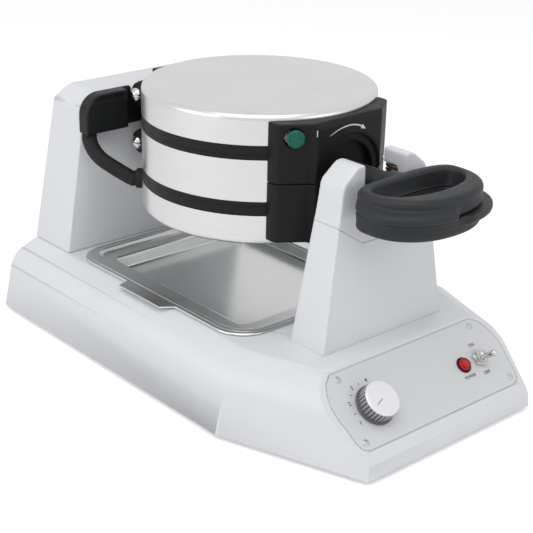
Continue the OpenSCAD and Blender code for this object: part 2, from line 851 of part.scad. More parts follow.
// Waffle pegs inside the cavity, from z0 to z1
peg_n = floor((cavity_r - peg_w / 2) / peg_pitch) + 1;
module pegs(z0, z1) {
    for (i = [-peg_n : peg_n], j = [-peg_n : peg_n]) {
        c = [(i + 0.5) * peg_pitch, (j + 0.5) * peg_pitch];
        if (norm(c) + peg_w * 0.72 < cavity_r - 2)
            translate([c[0] - peg_w / 2, c[1] - peg_w / 2, z0]) cube([peg_w, peg_w, z1 - z0]);
    }
}

module middle_ring() color(steel) in_drum() {
    difference() {
        translate([0, 0, -band_half_h]) cylinder(r = drum_r, h = 2 * band_half_h, $fn = 128);
        translate([0, 0, -band_half_h - 1])
            cylinder(r = drum_r - 1.5 * sheet_t, h = 2 * band_half_h + 2, $fn = 128);
        translate([0, drum_r - 10, 0]) rotate([-90, 0, 0]) cylinder(r = shaft_bore_r, h = 20);
    }
}

// A baking plate is a pegged grid plate with a rim ring seated on its edge
middle_floor_z = part_z - cavity_h;
module middle_plate() {
    difference() {
        translate([0, 0, heater_gap / 2]) cylinder(r = plate_body_r, h = middle_floor_z - heater_gap / 2);
        ring_tube(heater_ring_r, heater_r + heater_gap);
    }
    pegs(middle_floor_z - 0.01, middle_floor_z + peg_h);
}
module middle_rim() {
    difference() {
        union() {
            translate([0, 0, band_half_h]) cylinder(r = drum_r, h = rim_t, $fn = 128);
            translate([0, 0, middle_floor_z]) cylinder(r = plate_body_r, h = cavity_h);
        }
        translate([0, 0, middle_floor_z - 1]) cylinder(r = cavity_r, h = cavity_h + 2);
    }
}
module upper_middle_plate() color(cast_black) in_drum() middle_plate();
module upper_middle_rim() color(cast_black) in_drum() middle_rim();
module lower_middle_plate() color(cast_black) in_drum() half_turn() middle_plate();
module lower_middle_rim() color(cast_black) in_drum() half_turn() middle_rim();

module middle_heater() color(zinc) in_drum() ring_tube(heater_ring_r, heater_r);

yoke_back = rear_face_y - 0.7;
yoke_t = 4.6;
// Cable arm: reach to the side, and its top and bottom edges
arm_out = 93.5;
arm_top = 29;
arm_low = -8;
arm_front = 133;
arm_corner_r = 20;
hose_r = 7.2;
hose_wall = 2.6;
hose_x = 86.5;
hose_y = 140.2;

// Relief in the yoke's plate under the opened hinge arms: beside them, and below the pin
relief_side = 2;
relief_drop = 3;

module yoke_arm() {
    outline = concat(
        [[-arm_out, arm_low], [0, arm_low], [0, arm_top]],
        [for (a = [90 : 10 : 180])
            [-arm_out + arm_corner_r, arm_top - arm_corner_r] + arm_corner_r * [cos(a), sin(a)]]);
    difference() {
        along_y(yoke_back - yoke_t, yoke_back) polygon(outline);
        translate([-arm_half_w - relief_side, yoke_back - yoke_t - 1, hinge_z - relief_drop])
            cube([reach, yoke_t + 2, reach]);
    }
    intersection() {
        along_y(arm_front, yoke_back) polygon(outline);
        translate([-arm_out - 1, arm_front - 1, arm_low - 1])
            cube([arm_out - arm_half_w - 11, reach, reach]);
    }
}

module rear_yoke() color(plastic) in_drum() {
    difference() {
        union() {
            translate([-knuckle_half_w, drum_r - 14, -band_half_h + 0.2])
                cube([2 * knuckle_half_w, yoke_back - drum_r + 14, 2 * band_half_h - 0.4]);
            for (sz = [-1, 1]) translate([0, hinge_y, sz * hinge_z]) rotate([0, 90, 0])
                cylinder(r = barrel_r, h = 2 * knuckle_half_w, center = true);
            yoke_arm();
            half_turn() yoke_arm();
        }
        cylinder(r = drum_r, h = reach, center = true, $fn = 128);
        for (sz = [-1, 1]) translate([0, hinge_y, sz * hinge_z]) rotate([0, 90, 0])
            cylinder(r = pin_r, h = reach, center = true);
        translate([0, hinge_y - barrel_r, 0]) rotate([-90, 0, 0]) cylinder(r = shaft_r, h = reach);
        translate([0, 0, 0]) rotate([-90, 0, 0]) cylinder(r = shaft_bore_r, h = reach);
        // sockets for the cable hoses
        for (s = [-1, 1])
            translate([s * hose_x, hose_y, 0])
                cylinder(r = hose_r - hose_wall, h = 2 * (arm_top - 10), center = true);
    }
}

shaft_end = collar_y + collar_l + 8;
module drum_shaft() color(zinc) in_drum() {
    translate([0, hinge_y - barrel_r, 0]) rotate([-90, 0, 0]) difference() {
        cylinder(r = shaft_r, h = shaft_end - hinge_y + barrel_r);
        translate([0, 0, -1]) cylinder(r = shaft_bore_r, h = reach);
    }
}

module shaft_stop_collar() color(zinc) in_drum() {
    translate([0, collar_y, 0]) rotate([-90, 0, 0]) difference() {
        union() {
            cylinder(r = bush_r, h = collar_l);
            intersection() {
                cylinder(r = lug_r, h = collar_l);
                translate([-lug_r, -lug_half, 0]) cube([lug_r - shaft_r, 2 * lug_half, collar_l]);
            }
        }
        translate([0, 0, -1]) cylinder(r = shaft_r, h = collar_l + 2);
    }
}

module shaft_clip() color(zinc) in_drum() {
    translate([0, collar_y + collar_l, 0]) rotate([-90, 0, 0]) difference() {
        cylinder(r = shaft_r + 4, h = 1.5);
        translate([0, 0, -1]) cylinder(r = shaft_r, h = 4);
        translate([-3, 0, -1]) cube([6, 30, 4]);
    }
}

washer_t = 2;
washer_x = arm_half_w + side_gap;
nut_x = washer_x + washer_t;
module at_pins() {
    for (sz = [-1, 1]) translate([0, hinge_y, sz * hinge_z]) rotate([0, 90, 0]) children();
}
module hinge_pins() color(polished) in_drum() at_pins()
    cylinder(r = pin_r, h = 2 * (nut_x + 3), center = true);

module hinge_washers() color(rubber) in_drum() at_pins() for (s = [-1, 1])
    translate([0, 0, s * (washer_x + washer_t / 2)]) difference() {
        cylinder(r = barrel_r - 1, h = washer_t, center = true);
        cylinder(r = pin_r, h = washer_t + 2, center = true);
    }

dome_r = 6.5;
module hinge_dome_nuts() color(polished) in_drum() at_pins() for (s = [0, 180])
    rotate([s, 0, 0]) translate([0, 0, nut_x]) difference() {
        union() {
            cylinder(r = dome_r, h = 2);
            translate([0, 0, 1.99]) intersection() {
                sphere(r = dome_r);
                cylinder(r = dome_r, h = dome_r);
            }
        }
        translate([0, 0, -1]) cylinder(r = pin_r, h = 4);
    }

// ---- Lid -------------------------------------------------------------------

module cover_solid(t) {
    rotate_extrude($fn = 128) {
        square([drum_r - cover_edge_r, cover_h - t]);
        square([drum_r - t, cover_h - cover_edge_r]);
        translate([drum_r - cover_edge_r, cover_h - cover_edge_r]) circle(cover_edge_r - t, $fn = 48);
    }
}
module lid_cover() {
    difference() {
        translate([0, 0, cover_z]) difference() {
            cover_solid(0);
            translate([0, 0, -0.01]) cover_solid(sheet_t);
        }
        // way in for the cable
        at_gland() cylinder(r = gland_r - 3, h = 30, center = true);
        lid_hinge_screw_places() cylinder(r = screw_r, h = 20);
        bracket_screw_places() cylinder(r = screw_r, h = 20);
    }
}

lid_floor_z = lid_z + cavity_h;
body_top = lid_floor_z + plate_floor_t;
module lid_plate() {
    difference() {
        translate([0, 0, lid_floor_z]) cylinder(r = plate_body_r, h = plate_floor_t);
        translate([0, 0, body_top]) ring_tube(heater_ring_r, heater_r + heater_gap);
    }
    pegs(lid_floor_z - peg_h, lid_floor_z + 0.01);
}
module lid_rim() {
    difference() {
        union() {
            translate([0, 0, lid_z]) cylinder(r = drum_r, h = lid_rim_h, $fn = 128);
            translate([0, 0, lid_z]) cylinder(r = plate_body_r, h = cavity_h);
        }
        translate([0, 0, lid_z - 1]) cylinder(r = cavity_r, h = cavity_h + 2);
    }
}
module lid_heater() {
    translate([0, 0, body_top]) ring_tube(heater_ring_r, heater_r);
}
module lid_insulation() {
    low = body_top + heater_r + heater_gap;
    translate([0, 0, low]) cylinder(r = drum_r - 8, h = drum_top - sheet_t - ease - low);
}

// Lid hinge arms, on a pad that follows the cover's side
pad_z0 = cover_z + 0.6;
pad_z1 = drum_top - cover_edge_r;
pad_y = drum_r + 8;
arm_in = knuckle_half_w + side_gap;
module lid_hinge_arm() {
    arm = [[drum_r - 8, pad_z0], [hinge_y, hinge_z], [hinge_y, hinge_z + barrel_r],
           [pad_y, pad_z1 - 4], [pad_y - 3, pad_z1], [drum_r - 8, pad_z1]];
    difference() {
        union() {
            translate([-arm_half_w, drum_r - 10, pad_z0])
                cube([2 * arm_half_w, pad_y - drum_r + 10, pad_z1 - pad_z0]);
            both_sides() along_x(arm_in, arm_half_w) {
                polygon(arm);
                translate([hinge_y, hinge_z]) circle(barrel_r);
            }
        }
        translate([0, 0, -1]) cylinder(r = drum_r, h = reach, $fn = 128);
        translate([0, hinge_y, hinge_z]) rotate([0, 90, 0])
            cylinder(r = pin_r + running, h = reach, center = true);
        lid_hinge_screw_places() cylinder(r = screw_r, h = lid_screw_l);
    }
}
lid_screw_l = 6;
// Radius at which the flat screw heads meet the cover's round inside
head_seat_r = drum_r - sheet_t - 0.1;
// Screws from inside the cover into the hinge pad
module lid_hinge_screw_places() {
    for (sx = [-1, 1], z = [pad_z0 + 5, pad_z1 - 5])
        rotate([0, 0, -sx * 10]) translate([0, head_seat_r, z]) rotate([-90, 0, 0]) children();
}

// Cable entry on the side of the cover
gland_angle = 43.5;
gland_r = 8.5;
hose_z = 38;
gland_l = 6;
module at_gland() {
    rotate([0, 0, -gland_angle]) translate([0, drum_r, hose_z]) rotate([-90, 0, 0]) children();
}
module lid_hose_gland() {
    difference() {
        at_gland() difference() {
            translate([0, 0, -4]) cylinder(r = gland_r, h = 4 + gland_l);
            translate([0, 0, -10]) cylinder(r = hose_r - hose_wall, h = 40);
        }
        cylinder(r = drum_r, h = reach, $fn = 128);
    }
}

// Route of a cable hose, from the cover's gland to the rear yoke's arm.
// It leaves both straight.
hose_lead = 3;
hose_route = concat(
    [for (i = [0 : 2]) (drum_r + gland_l + i * hose_lead) * [sin(gland_angle), cos(gland_angle), 0]
        + [0, 0, hose_z]],
    [[87, 103, 31], [91, 118, 25], [90, 131, 18.5]],
    [for (i = [2 : -1 : 0]) [hose_x, hose_y, i * hose_lead - arm_low]]);

function catmull(p, i, t) =
    let(n = len(p) - 1, a = p[max(i - 1, 0)], b = p[i], c = p[i + 1], d = p[min(i + 2, n)])
    0.5 * (2 * b + (c - a) * t + (2 * a - 5 * b + 4 * c - d) * t * t + (3 * b - a - 3 * c + d) * t * t * t);
function smooth_route(p, k) = concat(
    [for (i = [0 : len(p) - 2], j = [0 : k - 1]) catmull(p, i, j / k)], [p[len(p) - 1]]);
function tangent(p, i) = unit(p[min(i + 1, len(p) - 1)] - p[max(i - 1, 0)]);
// Tube with n sides along the points p
module swept_tube(p, r, n) {
    rings = [for (i = [0 : len(p) - 1])
        let(d = tangent(p, i), s = unit(cross(d, [0.6, -0.4, 0.7])), u = cross(s, d))
        for (k = [0 : n - 1]) p[i] + r * (cos(360 * k / n) * s + sin(360 * k / n) * u)];
    m = len(p);
    polyhedron(rings, concat(
        [[for (k = [n - 1 : -1 : 0]) k]],
        [for (i = [0 : m - 2], k = [0 : n - 1])
            [i * n + k, i * n + (k + 1) % n, (i + 1) * n + (k + 1) % n, (i + 1) * n + k]],
        [[for (k = [0 : n - 1]) (m - 1) * n + k]]));
}

// ---- Front bracket and handle ----------------------------------------------

bracket_corner_y = 94;
bracket_seam = 0.15;
bracket_plan = mirrored([[-bracket_half_w + 1, -drum_r * 0.72], [-bracket_half_w, -bracket_corner_y + 4],
    [-bracket_half_w + 1.5, -bracket_corner_y - 1], [-recess_r - 4.5, -bracket_face_y + 4.5],
    [-recess_r, -bracket_face_y]]);
module stem_axis(y0, y1, r) {
    translate([0, -y1, 0]) rotate([-90, 0, 0]) cylinder(r = r, h = y1 - y0);
}
module upper_half() {
    translate([-reach / 2, -reach / 2, bracket_seam]) cube([reach, reach, reach]);
}
recess_floor_y = 107;
module lid_bracket() {
    difference() {
        intersection() {
            linear_extrude(bracket_h) polygon(bracket_plan);
            // chamfer along the top of the face
            along_x(-reach, reach) polygon([
                [-bracket_face_y, 0], [0, 0], [0, bracket_h], [-bracket_face_y + 4, bracket_h],
                [-bracket_face_y, bracket_h - 4]]);
            upper_half();
        }
        translate([0, 0, -1]) cylinder(r = drum_r + ease, h = lid_z + 1, $fn = 128);
        cylinder(r = drum_r, h = reach, $fn = 128);
        bracket_screw_places() cylinder(r = screw_r, h = lid_screw_l);
        stem_axis(bracket_face_y - 2.5, bracket_face_y + 10, recess_r);
        stem_axis(recess_floor_y, bracket_face_y, recess_deep_r);
        at_ready_light() cylinder(r = ready_r, h = 20, center = true);
    }
}

// Screws from inside the cover into the bracket
module bracket_screw_places() {
    for (a = [-14, 14], z = [cover_z + 4, bracket_h - 6])
        rotate([0, 0, a]) translate([0, -head_seat_r, z]) rotate([90, 0, 0]) children();
}
module lid_screws() {
    lid_hinge_screw_places() screw_up(lid_screw_l);
    bracket_screw_places() screw_up(lid_screw_l);
}

ready_r = 7.8;
ready_x = -52.2;
ready_z = 39.5;
ready_turn = atan2(bracket_face_y - 4.5 - bracket_corner_y - 1, bracket_half_w - 1.5 - recess_r - 4.5);
module at_ready_light() {
    face_x = -bracket_half_w + 1.5;
    face_y = -bracket_corner_y - 1 - (ready_x - face_x) * tan(ready_turn);
    translate([ready_x, face_y, ready_z]) rotate([0, 0, -ready_turn]) rotate([90, 0, 0]) children();
}
module lid_ready_light() {
    difference() {
        at_ready_light() {
            translate([0, 0, -9]) cylinder(r = ready_r - 0.3, h = 9);
            translate([0, 0, -0.5]) rotate_extrude() intersection() {
                translate([0, -18]) circle(20.5);
                square([ready_r - 0.3, 8]);
            }
        }
        translate([0, 0, -1]) cylinder(r = drum_r + ease, h = reach, $fn = 128);
    }
}

// Handle outline: straight at the back, widest a third of the way along, round at the front
function handle_curve(half_w, back_y, front_y, steps) =
    let(widest_y = back_y + (front_y - back_y) / 3)
    [for (i = [0 : steps - 1])
        let(a = 360 * i / steps, c = cos(a), s = sin(a), power = s > 0 ? 3.2 : 2.2,
            run = s > 0 ? widest_y - back_y : front_y - widest_y)
        [half_w * sign(c) * pow(abs(c), 2 / power), -widest_y + run * sign(s) * pow(abs(s), 2 / power)]];
handle_hole_y = handle_back_y + 11;
handle_front_bar = 20.5;
// Gap from the end of a lip to the middle
lip_end = 5;
module handle_ring(grow, grow_front, z0, z1) {
    translate([0, 0, z0]) linear_extrude(z1 - z0) difference() {
        polygon(handle_curve(handle_half_w + grow, handle_back_y, handle_front_y + grow_front, 48));
        polygon(handle_curve(handle_half_w - handle_bar, handle_hole_y, handle_front_y - handle_front_bar, 32));
    }
}
collar_r = 17;
module lid_handle() {
    intersection() {
        union() {
            stem_axis(recess_floor_y, handle_back_y + 2, stem_r);
            stem_axis(handle_back_y - 6, handle_back_y + 2, collar_r);
            handle_ring(0, 0, bracket_seam, handle_h);
            // grip lip along one half of the mating face
            intersection() {
                handle_ring(lip_out, lip_front, bracket_seam, lip_h);
                translate([-reach - lip_end, -reach, 0]) cube([reach, reach, reach]);
            }
        }
        upper_half();
    }
}

// ---- Nodes of the two lids -------------------------------------------------

module top_cover() color(steel) in_drum() lid_cover();
module top_plate() color(cast_black) in_drum() lid_plate();
module top_plate_rim() color(cast_black) in_drum() lid_rim();
module top_heater() color(zinc) in_drum() lid_heater();
module top_insulation() color("#d8d2c2") in_drum() lid_insulation();
module top_hinge_arm() color(plastic) in_drum() lid_hinge_arm();
module top_lid_screws() color(zinc) in_drum() lid_screws();
module top_hose_gland() color(zinc) in_drum() lid_hose_gland();
module top_bracket() color(plastic) in_drum() lid_bracket();
module top_ready_light() color(green) in_drum() lid_ready_light();
module top_handle() color(plastic) in_drum() lid_handle();
module top_cable_hose() color(rubber) in_drum() swept_tube(smooth_route(hose_route, 3), hose_r, 12);

module bottom_lid_cover() color(steel) in_drum() half_turn() lid_cover();
module bottom_plate() color(cast_black) in_drum() half_turn() lid_plate();
module bottom_plate_rim() color(cast_black) in_drum() half_turn() lid_rim();
module bottom_heater() color(zinc) in_drum() half_turn() lid_heater();
module bottom_insulation() color("#d8d2c2") in_drum() half_turn() lid_insulation();
module bottom_hinge_arm() color(plastic) in_drum() half_turn() lid_hinge_arm();
module bottom_lid_screws() color(zinc) in_drum() half_turn() lid_screws();
module bottom_hose_gland() color(zinc) in_drum() half_turn() lid_hose_gland();
module bottom_bracket() color(plastic) in_drum() half_turn() lid_bracket();
module bottom_ready_light() color(green) in_drum() half_turn() lid_ready_light();
module bottom_handle() color(plastic) in_drum() half_turn() lid_handle();
module bottom_cable_hose() color(rubber) in_drum() half_turn()
    swept_tube(smooth_route(hose_route, 3), hose_r, 12);

base_housing();
bottom_cover();
rubber_feet();
base_screws();
rear_pillar();
rear_pillar_cover();
rear_bearing();
front_pillar();
front_pillar_cap();
slot_springs();
cord_gland();
terminal_block();
control_plate();
plate_rivets();
thermostat_body();
switch_body();
switch_nut();
power_light();
drip_tray();
thermostat_spindle();
control_knob();
knob_face();
toggle_lever();
middle_ring();
upper_middle_plate();
upper_middle_rim();
lower_middle_plate();
lower_middle_rim();
middle_heater();
rear_yoke();
drum_shaft();
shaft_stop_collar();
shaft_clip();
hinge_pins();
hinge_washers();
hinge_dome_nuts();
top_cover();
top_plate();
top_plate_rim();
top_heater();
top_insulation();
top_hinge_arm();
top_lid_screws();
top_hose_gland();
top_bracket();
top_ready_light();
top_handle();
top_cable_hose();
bottom_lid_cover();
bottom_plate();
bottom_plate_rim();
bottom_heater();
bottom_insulation();
bottom_hinge_arm();
bottom_lid_screws();
bottom_hose_gland();
bottom_bracket();
bottom_ready_light();
bottom_handle();
bottom_cable_hose();
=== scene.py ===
# %% [markdown]
# # Dressing a flip-over waffle baker
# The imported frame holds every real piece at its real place. Blender adds what metal, paint and
# moulded plastic look like: rounded edges, grain, print, lenses and rubber sleeves.
# Everything is in metres, and each place comes from the frame's own boxes and joints.

import json
import math

import bmesh
import bpy
from mathutils import Matrix, Vector

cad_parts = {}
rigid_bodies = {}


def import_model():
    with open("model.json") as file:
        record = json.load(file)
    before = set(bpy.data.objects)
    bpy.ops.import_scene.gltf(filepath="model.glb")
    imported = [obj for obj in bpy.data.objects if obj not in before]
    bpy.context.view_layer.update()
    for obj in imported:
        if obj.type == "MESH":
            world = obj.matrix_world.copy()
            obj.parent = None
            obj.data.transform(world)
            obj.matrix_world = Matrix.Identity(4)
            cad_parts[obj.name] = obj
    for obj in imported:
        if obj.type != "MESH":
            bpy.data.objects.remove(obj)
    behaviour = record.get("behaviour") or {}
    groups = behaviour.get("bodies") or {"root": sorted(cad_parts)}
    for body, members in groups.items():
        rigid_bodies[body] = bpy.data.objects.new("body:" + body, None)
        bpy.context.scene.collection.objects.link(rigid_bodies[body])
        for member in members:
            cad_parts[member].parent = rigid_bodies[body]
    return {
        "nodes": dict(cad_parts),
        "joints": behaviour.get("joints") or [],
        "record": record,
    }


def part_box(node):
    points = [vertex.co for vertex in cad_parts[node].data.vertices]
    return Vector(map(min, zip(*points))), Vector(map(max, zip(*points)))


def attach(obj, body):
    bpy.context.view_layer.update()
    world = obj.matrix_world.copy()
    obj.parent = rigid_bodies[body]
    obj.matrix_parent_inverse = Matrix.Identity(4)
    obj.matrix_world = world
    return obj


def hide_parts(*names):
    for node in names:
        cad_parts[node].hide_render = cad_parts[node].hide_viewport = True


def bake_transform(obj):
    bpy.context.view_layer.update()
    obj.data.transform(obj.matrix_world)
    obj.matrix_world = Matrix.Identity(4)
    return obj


for leftover in list(bpy.data.objects):
    bpy.data.objects.remove(leftover)
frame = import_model()
nodes = frame["nodes"]
bpy.context.view_layer.update()
MM = 0.001

# %% [markdown]
# ## Landmarks
# The turning axis, the lid hinges and the dial are joints. The axis's and the dial's places are
# read from their joints. The control face leans back, and the dial's axis gives its normal.

# %% Read the landmarks
joints = {joint["name"]: joint for joint in frame["joints"]}
SLOT_OF = {name: node.data.materials[0].name for name, node in nodes.items()}
AXLE = Vector(joints["drum_flip"]["pos_m"])
DIAL = Vector(joints["thermostat_turn"]["pos_m"])
PANEL_NORMAL = -Vector(joints["thermostat_turn"]["axis"]).normalized()
PANEL_RIGHT = Vector((1, 0, 0))
PANEL_UP = PANEL_NORMAL.cross(PANEL_RIGHT).normalized()
DIAL_X, DIAL_S = DIAL.x / MM, 42  # the dial's place on the face: across, and down the slope
PANEL_TOP = DIAL + PANEL_UP * DIAL_S * MM - PANEL_RIGHT * DIAL.x


def drum_point(x, y, z):
    """A point given in millimetres from the drum's centre, in metres."""
    return AXLE + Vector((x, y, z)) * MM


def on_panel(x, s, lift=0.0, turn=0.0):
    """A place on the control face: x millimetres to the right and s down the slope.

    There z points out of the face, and y up the slope or turn degrees clockwise from it.
    """
    origin = PANEL_TOP + PANEL_RIGHT * x * MM - PANEL_UP * s * MM + PANEL_NORMAL * lift * MM
    axes = Matrix((PANEL_RIGHT, PANEL_UP, PANEL_NORMAL)).transposed().to_4x4()
    return Matrix.Translation(origin) @ axes @ Matrix.Rotation(-math.radians(turn), 4, "Z")


print("axle", [round(v / MM, 1) for v in AXLE], "panel normal", [round(v, 3) for v in PANEL_NORMAL])

# %% [markdown]
# ## The camera
# A camera is a place, a direction, a roll and a lens. It looks at the drum from the front left
# and from above. A long lens keeps the base's edges nearly parallel.

# %% Make the camera
VIEW_AZIMUTH = math.radians(-40.69)
VIEW_ELEVATION = math.radians(22.5)
VIEW_ROLL = math.radians(0.87)
VIEW_DISTANCE = 1.1609
VIEW_AIM = (-0.01718, -0.10304)  # how far the camera stands aside, right and up
AIM_BELOW_AXLE = 0.0002
SENSOR, LENS = 36, 87.66  # millimetres


def aim_camera():
    """The view as a matrix whose columns are right, up and backwards."""
    a, e = VIEW_AZIMUTH, VIEW_ELEVATION
    back = Vector((math.sin(a) * math.cos(e), -math.cos(a) * math.cos(e), math.sin(e)))
    right = Vector((math.cos(a), math.sin(a), 0))
    up = back.cross(right)
    rolled_right = right * math.cos(VIEW_ROLL) + up * math.sin(VIEW_ROLL)
    rolled_up = up * math.cos(VIEW_ROLL) - right * math.sin(VIEW_ROLL)
    target = AXLE - Vector((0, 0, AIM_BELOW_AXLE))
    place = target + rolled_right * VIEW_AIM[0] + rolled_up * VIEW_AIM[1] + back * VIEW_DISTANCE
    turn = Matrix((rolled_right, rolled_up, back)).transposed().to_4x4()
    return Matrix.Translation(place) @ turn


camera_data = bpy.data.cameras.new("studio_camera")
camera_data.sensor_width, camera_data.lens = SENSOR, LENS
camera_data.shift_x, camera_data.shift_y = 0.0513, -0.0142
camera_data.clip_start, camera_data.clip_end = 0.05, 50
camera = bpy.data.objects.new("studio_camera", camera_data)
camera.matrix_world = aim_camera()
bpy.context.scene.collection.objects.link(camera)
bpy.context.scene.camera = camera
bpy.context.scene.view_settings.view_transform = "Standard"
print("camera stands at", [round(v, 3) for v in camera.matrix_world.translation])

# %% [markdown]
# ## The studio
# Product light is large and soft. A broad lamp above and to the left gives the steel its bright
# sweep, a weaker one fills from the right, and the white world fills the rest. The floor is
# near white, and shows only a faint shadow.

# %% Helpers for a node tree
WHITE = (1, 1, 1, 1)


def new_material(name):
    """A material with an empty node tree, its Principled shader and its output."""
    material = bpy.data.materials.new(name)
    material.use_nodes = True
    tree = material.node_tree
    tree.nodes.clear()
    output = tree.nodes.new("ShaderNodeOutputMaterial")
    shader = tree.nodes.new("ShaderNodeBsdfPrincipled")
    tree.links.new(shader.outputs["BSDF"], output.inputs["Surface"])
    return material, tree, shader


def maths_node(tree, operation, first, second, third=None):
    """A Math node. Each of its numbers is a value or a link."""
    node = tree.nodes.new("ShaderNodeMath")
    node.operation = operation
    for socket, value in zip(node.inputs, (first, second, third)):
        if isinstance(value, bpy.types.NodeSocket):
            tree.links.new(value, socket)
        elif value is not None:
            socket.default_value = value
    return node.outputs[0]


print("each material starts as one Principled shader and an output")

# %% Build the floor
FLOOR_HALF = 6
FLOOR_GLOW, FLOOR_GLOW_IN_METAL = 0.34, 0.12


def make_floor():
    """A wide plain floor. Part of its white is its own glow, so that the shadow stays pale."""
    mesh = bpy.data.meshes.new("studio_floor")
    corners = [(x * FLOOR_HALF, y * FLOOR_HALF, 0) for x, y in ((-1, -1), (1, -1), (1, 1), (-1, 1))]
    mesh.from_pydata(corners, [], [(0, 1, 2, 3)])
    floor = bpy.data.objects.new("studio_floor", mesh)
    bpy.context.scene.collection.objects.link(floor)
    material, tree, shader = new_material("floor_white")
    shader.inputs["Base Color"].default_value = (0.9, 0.9, 0.9, 1)
    shader.inputs["Roughness"].default_value = 0.9
    shader.inputs["Specular IOR Level"].default_value = 0
    path = tree.nodes.new("ShaderNodeLightPath").outputs
    reflected = maths_node(tree, "MULTIPLY", path["Is Glossy Ray"], FLOOR_GLOW_IN_METAL)
    glow = maths_node(tree, "MULTIPLY_ADD", path["Is Camera Ray"], FLOOR_GLOW, reflected)
    shader.inputs["Emission Color"].default_value = WHITE
    tree.links.new(glow, shader.inputs["Emission Strength"])
    mesh.materials.append(material)


make_floor()
print("floor", 2 * FLOOR_HALF, "m wide")

# %% Build the world
WORLD_FILL, WORLD_IN_METAL = 0.62, 0.86


def make_world():
    """White to the camera, a little less in reflections, and a plain fill for the rest."""
    world = bpy.data.worlds.new("studio_world")
    world.use_nodes = True
    bpy.context.scene.world = world
    tree = world.node_tree
    background = tree.nodes["Background"]
    background.inputs["Color"].default_value = WHITE
    path = tree.nodes.new("ShaderNodeLightPath").outputs
    seen = maths_node(tree, "MAXIMUM", path["Is Camera Ray"], path["Is Transmission Ray"])
    plain = maths_node(tree, "MULTIPLY_ADD", seen, 1 - WORLD_FILL, WORLD_FILL)
    strength = maths_node(tree, "MULTIPLY_ADD", path["Is Glossy Ray"],
                          WORLD_IN_METAL - WORLD_FILL, plain)
    tree.links.new(strength, background.inputs["Strength"])


make_world()
print("world fill", WORLD_FILL, "and in metal", WORLD_IN_METAL)

# %% Hang the lamps


def hang_lamp(name, place, target, size, power):
    """A square soft lamp that faces its target."""
    data = bpy.data.lights.new(name, "AREA")
    data.shape = "RECTANGLE"
    data.size, data.size_y = size
    data.energy = power
    lamp = bpy.data.objects.new(name, data)
    lamp.location = Vector(place)
    direction = Vector(target) - Vector(place)
    lamp.rotation_euler = direction.to_track_quat("-Z", "Y").to_euler()
    bpy.context.scene.collection.objects.link(lamp)


hang_lamp("key_above", (-0.5, -0.5, 1.7), AXLE, (1.4, 1.4), 11)
hang_lamp("side_left", (-1.7, 0.3, 0.8), AXLE, (1.2, 1.0), 6)
hang_lamp("fill_front", (0.6, -1.9, 0.7), AXLE, (1.2, 0.8), 3)

# %% [markdown]
# ## Shared surface effects
# Brushing, casting grain, orange peel in paint and worn edges turn up on many pieces, so each
# is one node group, built once and used with each material's own numbers.

# %% A helper that builds a node group


def socket_key(word):
    """The socket that a keyword means: i0 is the first by number, From_Min is From Min by name."""
    return int(word[1:]) if word[0] == "i" and word[1:].isdigit() else word.replace("_", " ")


class Group:
    """A node group under construction, with short ways to add and join its nodes."""

    def __init__(self, name, inputs, outputs, kind="ShaderNodeTree"):
        self.tree = bpy.data.node_groups.new(name, kind)
        for direction, sockets in (("INPUT", inputs), ("OUTPUT", outputs)):
            for label, holds, *value in sockets:
                socket = self.tree.interface.new_socket(label, in_out=direction,
                                                        socket_type="NodeSocket" + holds)
                if value:
                    socket.default_value = value[0]
        self.start = self.tree.nodes.new("NodeGroupInput").outputs
        self.end = self.tree.nodes.new("NodeGroupOutput").inputs

    def add(self, kind, settings=None, **sockets):
        """Adds a node. Settings are its own options, and sockets are values or links."""
        node = self.tree.nodes.new(kind)
        for key, value in (settings or {}).items():
            setattr(node, key, value)
        for word, value in sockets.items():
            self.feed(value, node.inputs[socket_key(word)])
        return node

    def feed(self, value, socket):
        """Links a socket, or gives it a value."""
        if isinstance(value, bpy.types.NodeSocket):
            self.tree.links.new(value, socket)
        else:
            socket.default_value = value

    def maths(self, operation, first, second=0.0):
        """One sum, product or wave."""
        return self.add("ShaderNodeMath", {"operation": operation}, i0=first, i1=second).outputs[0]


print("i0 means socket", socket_key("i0"), "and From_Min means", socket_key("From_Min"))

# %% [markdown]
# **Brushing** is noise stretched along one direction: long, thin and shallow.
# **Cast grain** is fine noise with a coarser one under it. Both give a height for a bump and a
# small change of roughness, because scratches catch light and also blur it.

# %% Brushing and grain
SURFACE_OUTPUTS = [("Height", "Float"), ("Blur", "Float"), ("Shade", "Float")]


def make_brushing():
    """Scratches along the axes that Stretch leaves long."""
    group = Group("brushing", [("Place", "Vector"), ("Stretch", "Vector", (40, 40, 3000)),
                               ("Depth", "Float", 1.0)], SURFACE_OUTPUTS)
    stretched = group.add("ShaderNodeVectorMath", {"operation": "MULTIPLY"},
                          i0=group.start["Place"], i1=group.start["Stretch"]).outputs[0]
    fine = group.add("ShaderNodeTexNoise", Vector=stretched, Scale=1.0, Detail=3.0, Roughness=0.6)
    broad = group.add("ShaderNodeTexNoise", Vector=group.start["Place"], Scale=14.0, Detail=2.0)
    height = group.maths("MULTIPLY", fine.outputs["Fac"], group.start["Depth"])
    group.feed(height, group.end["Height"])
    mixed = group.maths("ADD", group.maths("MULTIPLY", fine.outputs["Fac"], 0.5),
                        group.maths("MULTIPLY", broad.outputs["Fac"], 0.5))
    group.feed(mixed, group.end["Blur"])
    group.feed(fine.outputs["Fac"], group.end["Shade"])
    return group.tree


